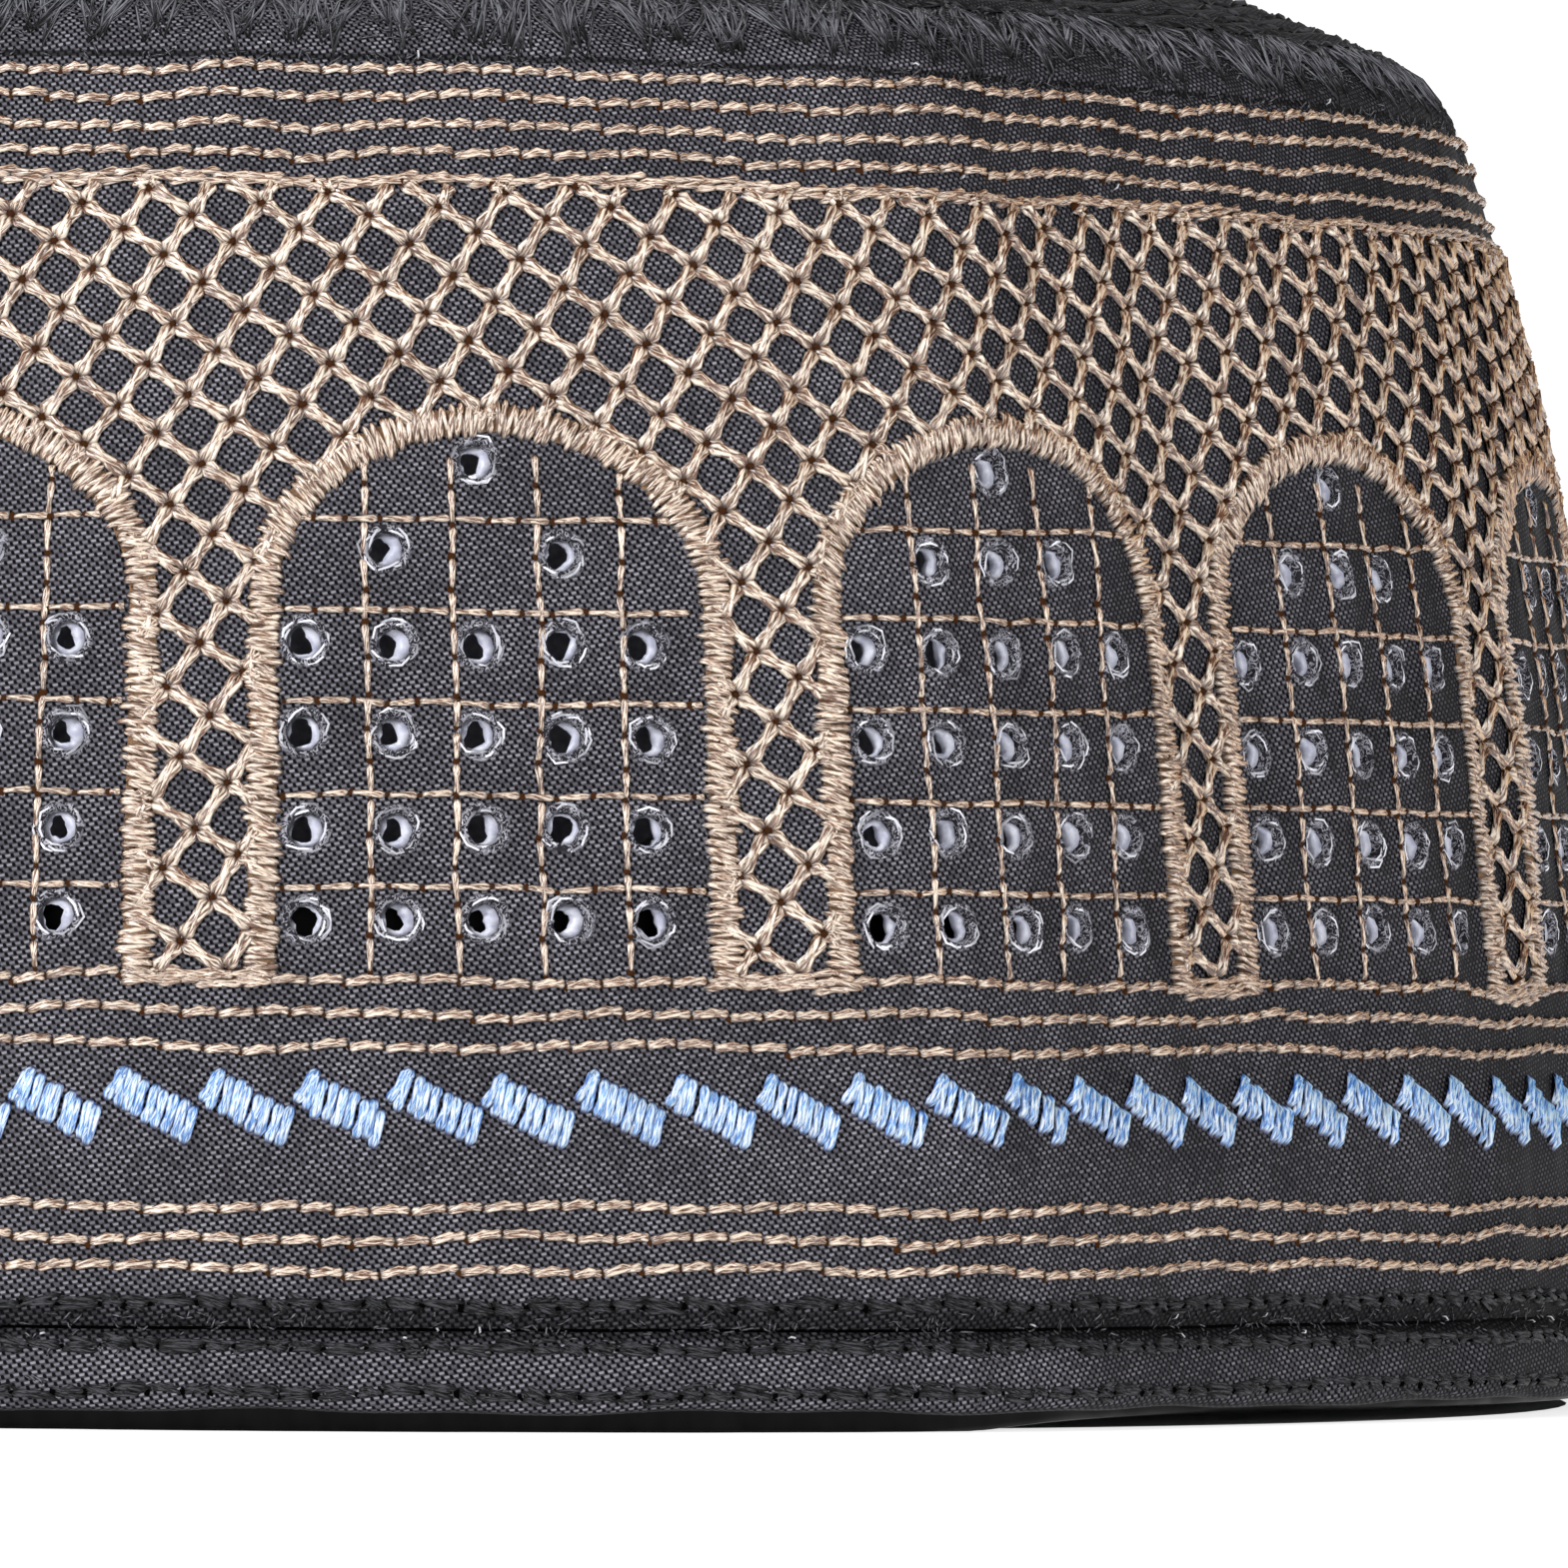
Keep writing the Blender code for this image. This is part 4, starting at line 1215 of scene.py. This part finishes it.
# Spun polyester too, but charcoal: its loose fibres catch more light, painted into its colour as
# grey highlights.
rim_thread = thread_material(
    "charcoal spun sewing thread", shaded="#040404", deep="#08080a", body="#1a1a1d", highlight="#85858d",
    rough=0.5, end_share=0.15, gloss=0.2,
)
random = np.random.default_rng(53)
corners = np.arange(2 * RIM_ZIGZAGS + 1) / (2 * RIM_ZIGZAGS) - 0.5
levels = np.where(np.arange(len(corners)) % 2 == 0, RIM_FOOT, RIM_HEAD)
corners = corners + random.normal(0, RIM_STRAY[0], len(corners)) / HEM_LENGTH
levels = levels + random.normal(0, RIM_STRAY[1], len(corners))
rim_stitches = []
for ply in range(RIM_PLIES):
    loose = random.normal(0, 1, (2, len(corners))) * np.array([[RIM_LOOSE[0] / HEM_LENGTH], [RIM_LOOSE[1]]])
    line = np.column_stack([corners + loose[0], levels + loose[1]])
    line[-1] = line[0] + [1, 0]
    rim_stitches.append((line[:-1], line[1:]))
start, end = joined(rim_stitches)
rim_zigzag = strands(
    "rim_zigzag", start, end, width=0.00020, crown=random.uniform(0.00004, 0.00024, len(start)),
    material=rim_thread, seed=54, bow=random.normal(0, 0.00050, len(start)), segments=4,
)
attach(rim_zigzag, "root")

# Loose fibre: fine dark hairs of the spun sewing threads, which stand off the seams of the hem
# and of the rim where the needle and wear have pulled them out.
FUZZ_BANDS = (  # distance up the path, spread, number of hairs, length
    (float(way_up(0.0050)), 0.00040, 1500, 0.0010),
    (float(way_up(0.0036)), 0.00035, 500, 0.0012),
    (float(way_up(0.0012)), 0.00035, 500, 0.0012),
    (float(way_up(0.0780)), 0.00012, 900, 0.0012),
    (float(way_up(0.0806)), 0.00100, 4000, 0.0011),
    (WAY_TO_RIM + 0.0010, 0.00140, 3000, 0.0012),
)
FUZZ_LOWEST = 0.0003  # no hair reaches further down the wall than this

random = np.random.default_rng(59)
hairs, stand = [], []
for way, spread, count, length in FUZZ_BANDS:
    at = np.column_stack([random.random(count) - 0.5, way + random.normal(0, spread, count)])
    heading = random.uniform(-math.pi, math.pi, count)
    reach = length * random.uniform(0.5, 1.3, count)[:, None]
    step = reach * np.column_stack([np.cos(heading) / length_round(at[:, 1]), 0.6 * np.sin(heading)])
    tips = [at - step / 2, at + step / 2]
    for tip in tips:
        tip[:, 1] = np.maximum(tip[:, 1], FUZZ_LOWEST)
    hairs.append(tips)
    stand.append(random.uniform(0.00005, 0.00025, count))
start, end = joined(hairs)
fuzz = strands(
    "seam_fuzz", start, end, width=0.00012, crown=np.concatenate(stand), material=rim_thread, seed=60,
    bow=random.normal(0, 0.00042, len(start)), arc=2, slender=0.5,
)
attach(fuzz, "root")

# Lint: a few short white fibres of cotton from other cloth, caught in the black seams and in
# the lattice's upper edge.
LINT = 90
LINT_HEIGHTS = [0.0049, 0.0045, 0.0786, 0.0720]

random = np.random.default_rng(71)
at = np.column_stack([random.random(LINT) - 0.5, way_up(random.choice(LINT_HEIGHTS, LINT))])
at[:, 1] += random.normal(0, 0.0003, LINT)
heading = random.uniform(0, math.pi, LINT)
reach = random.uniform(0.0001, 0.0003, LINT)[:, None]
reach = reach * np.column_stack([np.cos(heading) / HEM_LENGTH, np.sin(heading)])
# Bleached cotton: matt and nearly white, with painted shade, greyer, where a fibre dips into the seam.
lint_fibre = thread_material(
    "white cotton lint", shaded="#9a9aa2", deep="#b8b8c0", body="#e2e2e8", highlight="#f6f6fa", rough=0.8,
    gloss=0.3,
)
lint = strands(
    "lint", at - reach, at + reach, width=0.00013, crown=0.00040, material=lint_fibre, seed=72,
    bow=random.normal(0, 0.0001, LINT),
)
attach(lint, "root")

# Rounds of the top: level rounds of plain running stitches from the rim to the middle, with one
# strand to a stitch, in black sewing thread near the rim and in tan thread from there in.
TAN_FROM = 0.0105  # distance in from the rim at which the tan rounds begin
TOP_PITCH, TOP_GAP = 0.0030, 0.07  # length of a stitch, and share of it that is missing at its end

black_rounds, tan_rounds = [], []
for number, way in enumerate(np.arange(FIRST_TOP_RING, WAY_TO_MIDDLE - 0.0030, TOP_RING_STEP)):
    count = max(12, round(float(length_round(way)) / TOP_PITCH))
    random = np.random.default_rng(300 + number)
    places = (np.arange(count + 1) + random.uniform(-0.1, 0.1, count + 1)) / count - 0.5
    places[-1] = places[0] + 1
    levels = way + random.normal(0, 0.00006, count + 1)
    levels[-1] = levels[0]
    line = np.column_stack([places, levels])
    rounds = tan_rounds if way > WAY_TO_RIM + TAN_FROM else black_rounds
    rounds.append((line[:-1], line[1:] - [TOP_GAP / count, 0]))
for name, rounds, material, seed in (
    ("top_black_stitches", black_rounds, black_thread, 61), ("top_tan_stitches", tan_rounds, tan_thread, 62),
):
    piece = strands(name, *joined(rounds), width=0.00048, crown=0.00020, material=material, seed=seed)
    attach(piece, "root")

# Melted fibre: stiff pale curls of polyester that stand round each eyelet where the hot punch
# cut the cloth and its interlining.
CURLS_EACH = 12
CURL_RADII = (0.00102, 0.00150)
CURL_HALF_SPAN = (16, 40)  # degrees about the eyelet from the middle of a curl to its tips

random = np.random.default_rng(67)
count = CURLS_EACH * len(EYELETS)
centre = np.repeat(np.column_stack([EYELETS[:, 0], way_up(EYELETS[:, 1])]), CURLS_EACH, 0)
around = length_round(centre[:, 1])
first_turn = random.uniform(0, 2 * math.pi, count)
half_span = np.radians(random.uniform(*CURL_HALF_SPAN, count))
radii = random.uniform(*CURL_RADII, (2, count))
tips = []
for turn, radius in ((first_turn - half_span, radii[0]), (first_turn + half_span, radii[1])):
    tips.append(centre + np.column_stack([radius * np.cos(turn) / around, radius * np.sin(turn)]))
sagitta = radii.mean(0) * (1 - np.cos(half_span)) * random.uniform(0.4, 2.0, count)


def tone_of_curl(tree):
    """The tone that each curl has of its own."""
    return add(tree, "Attribute", out="Fac", attribute_name="tone")


# Plastic drawn out by heat and set again: glossy, each curl between mid and pale grey.
melted = toned_material(
    "melted polyester fibre", tone_of_curl, dark="#62626b", pale="#f0f0fa", Roughness=0.25,
)
curls = strands(
    "melted_curls", *tips, width=0.00014, crown=random.uniform(0.00012, 0.00032, count), material=melted,
    seed=68, bow=sagitta, segments=4, arc=2, slender=0.5,
)
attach(curls, "root")
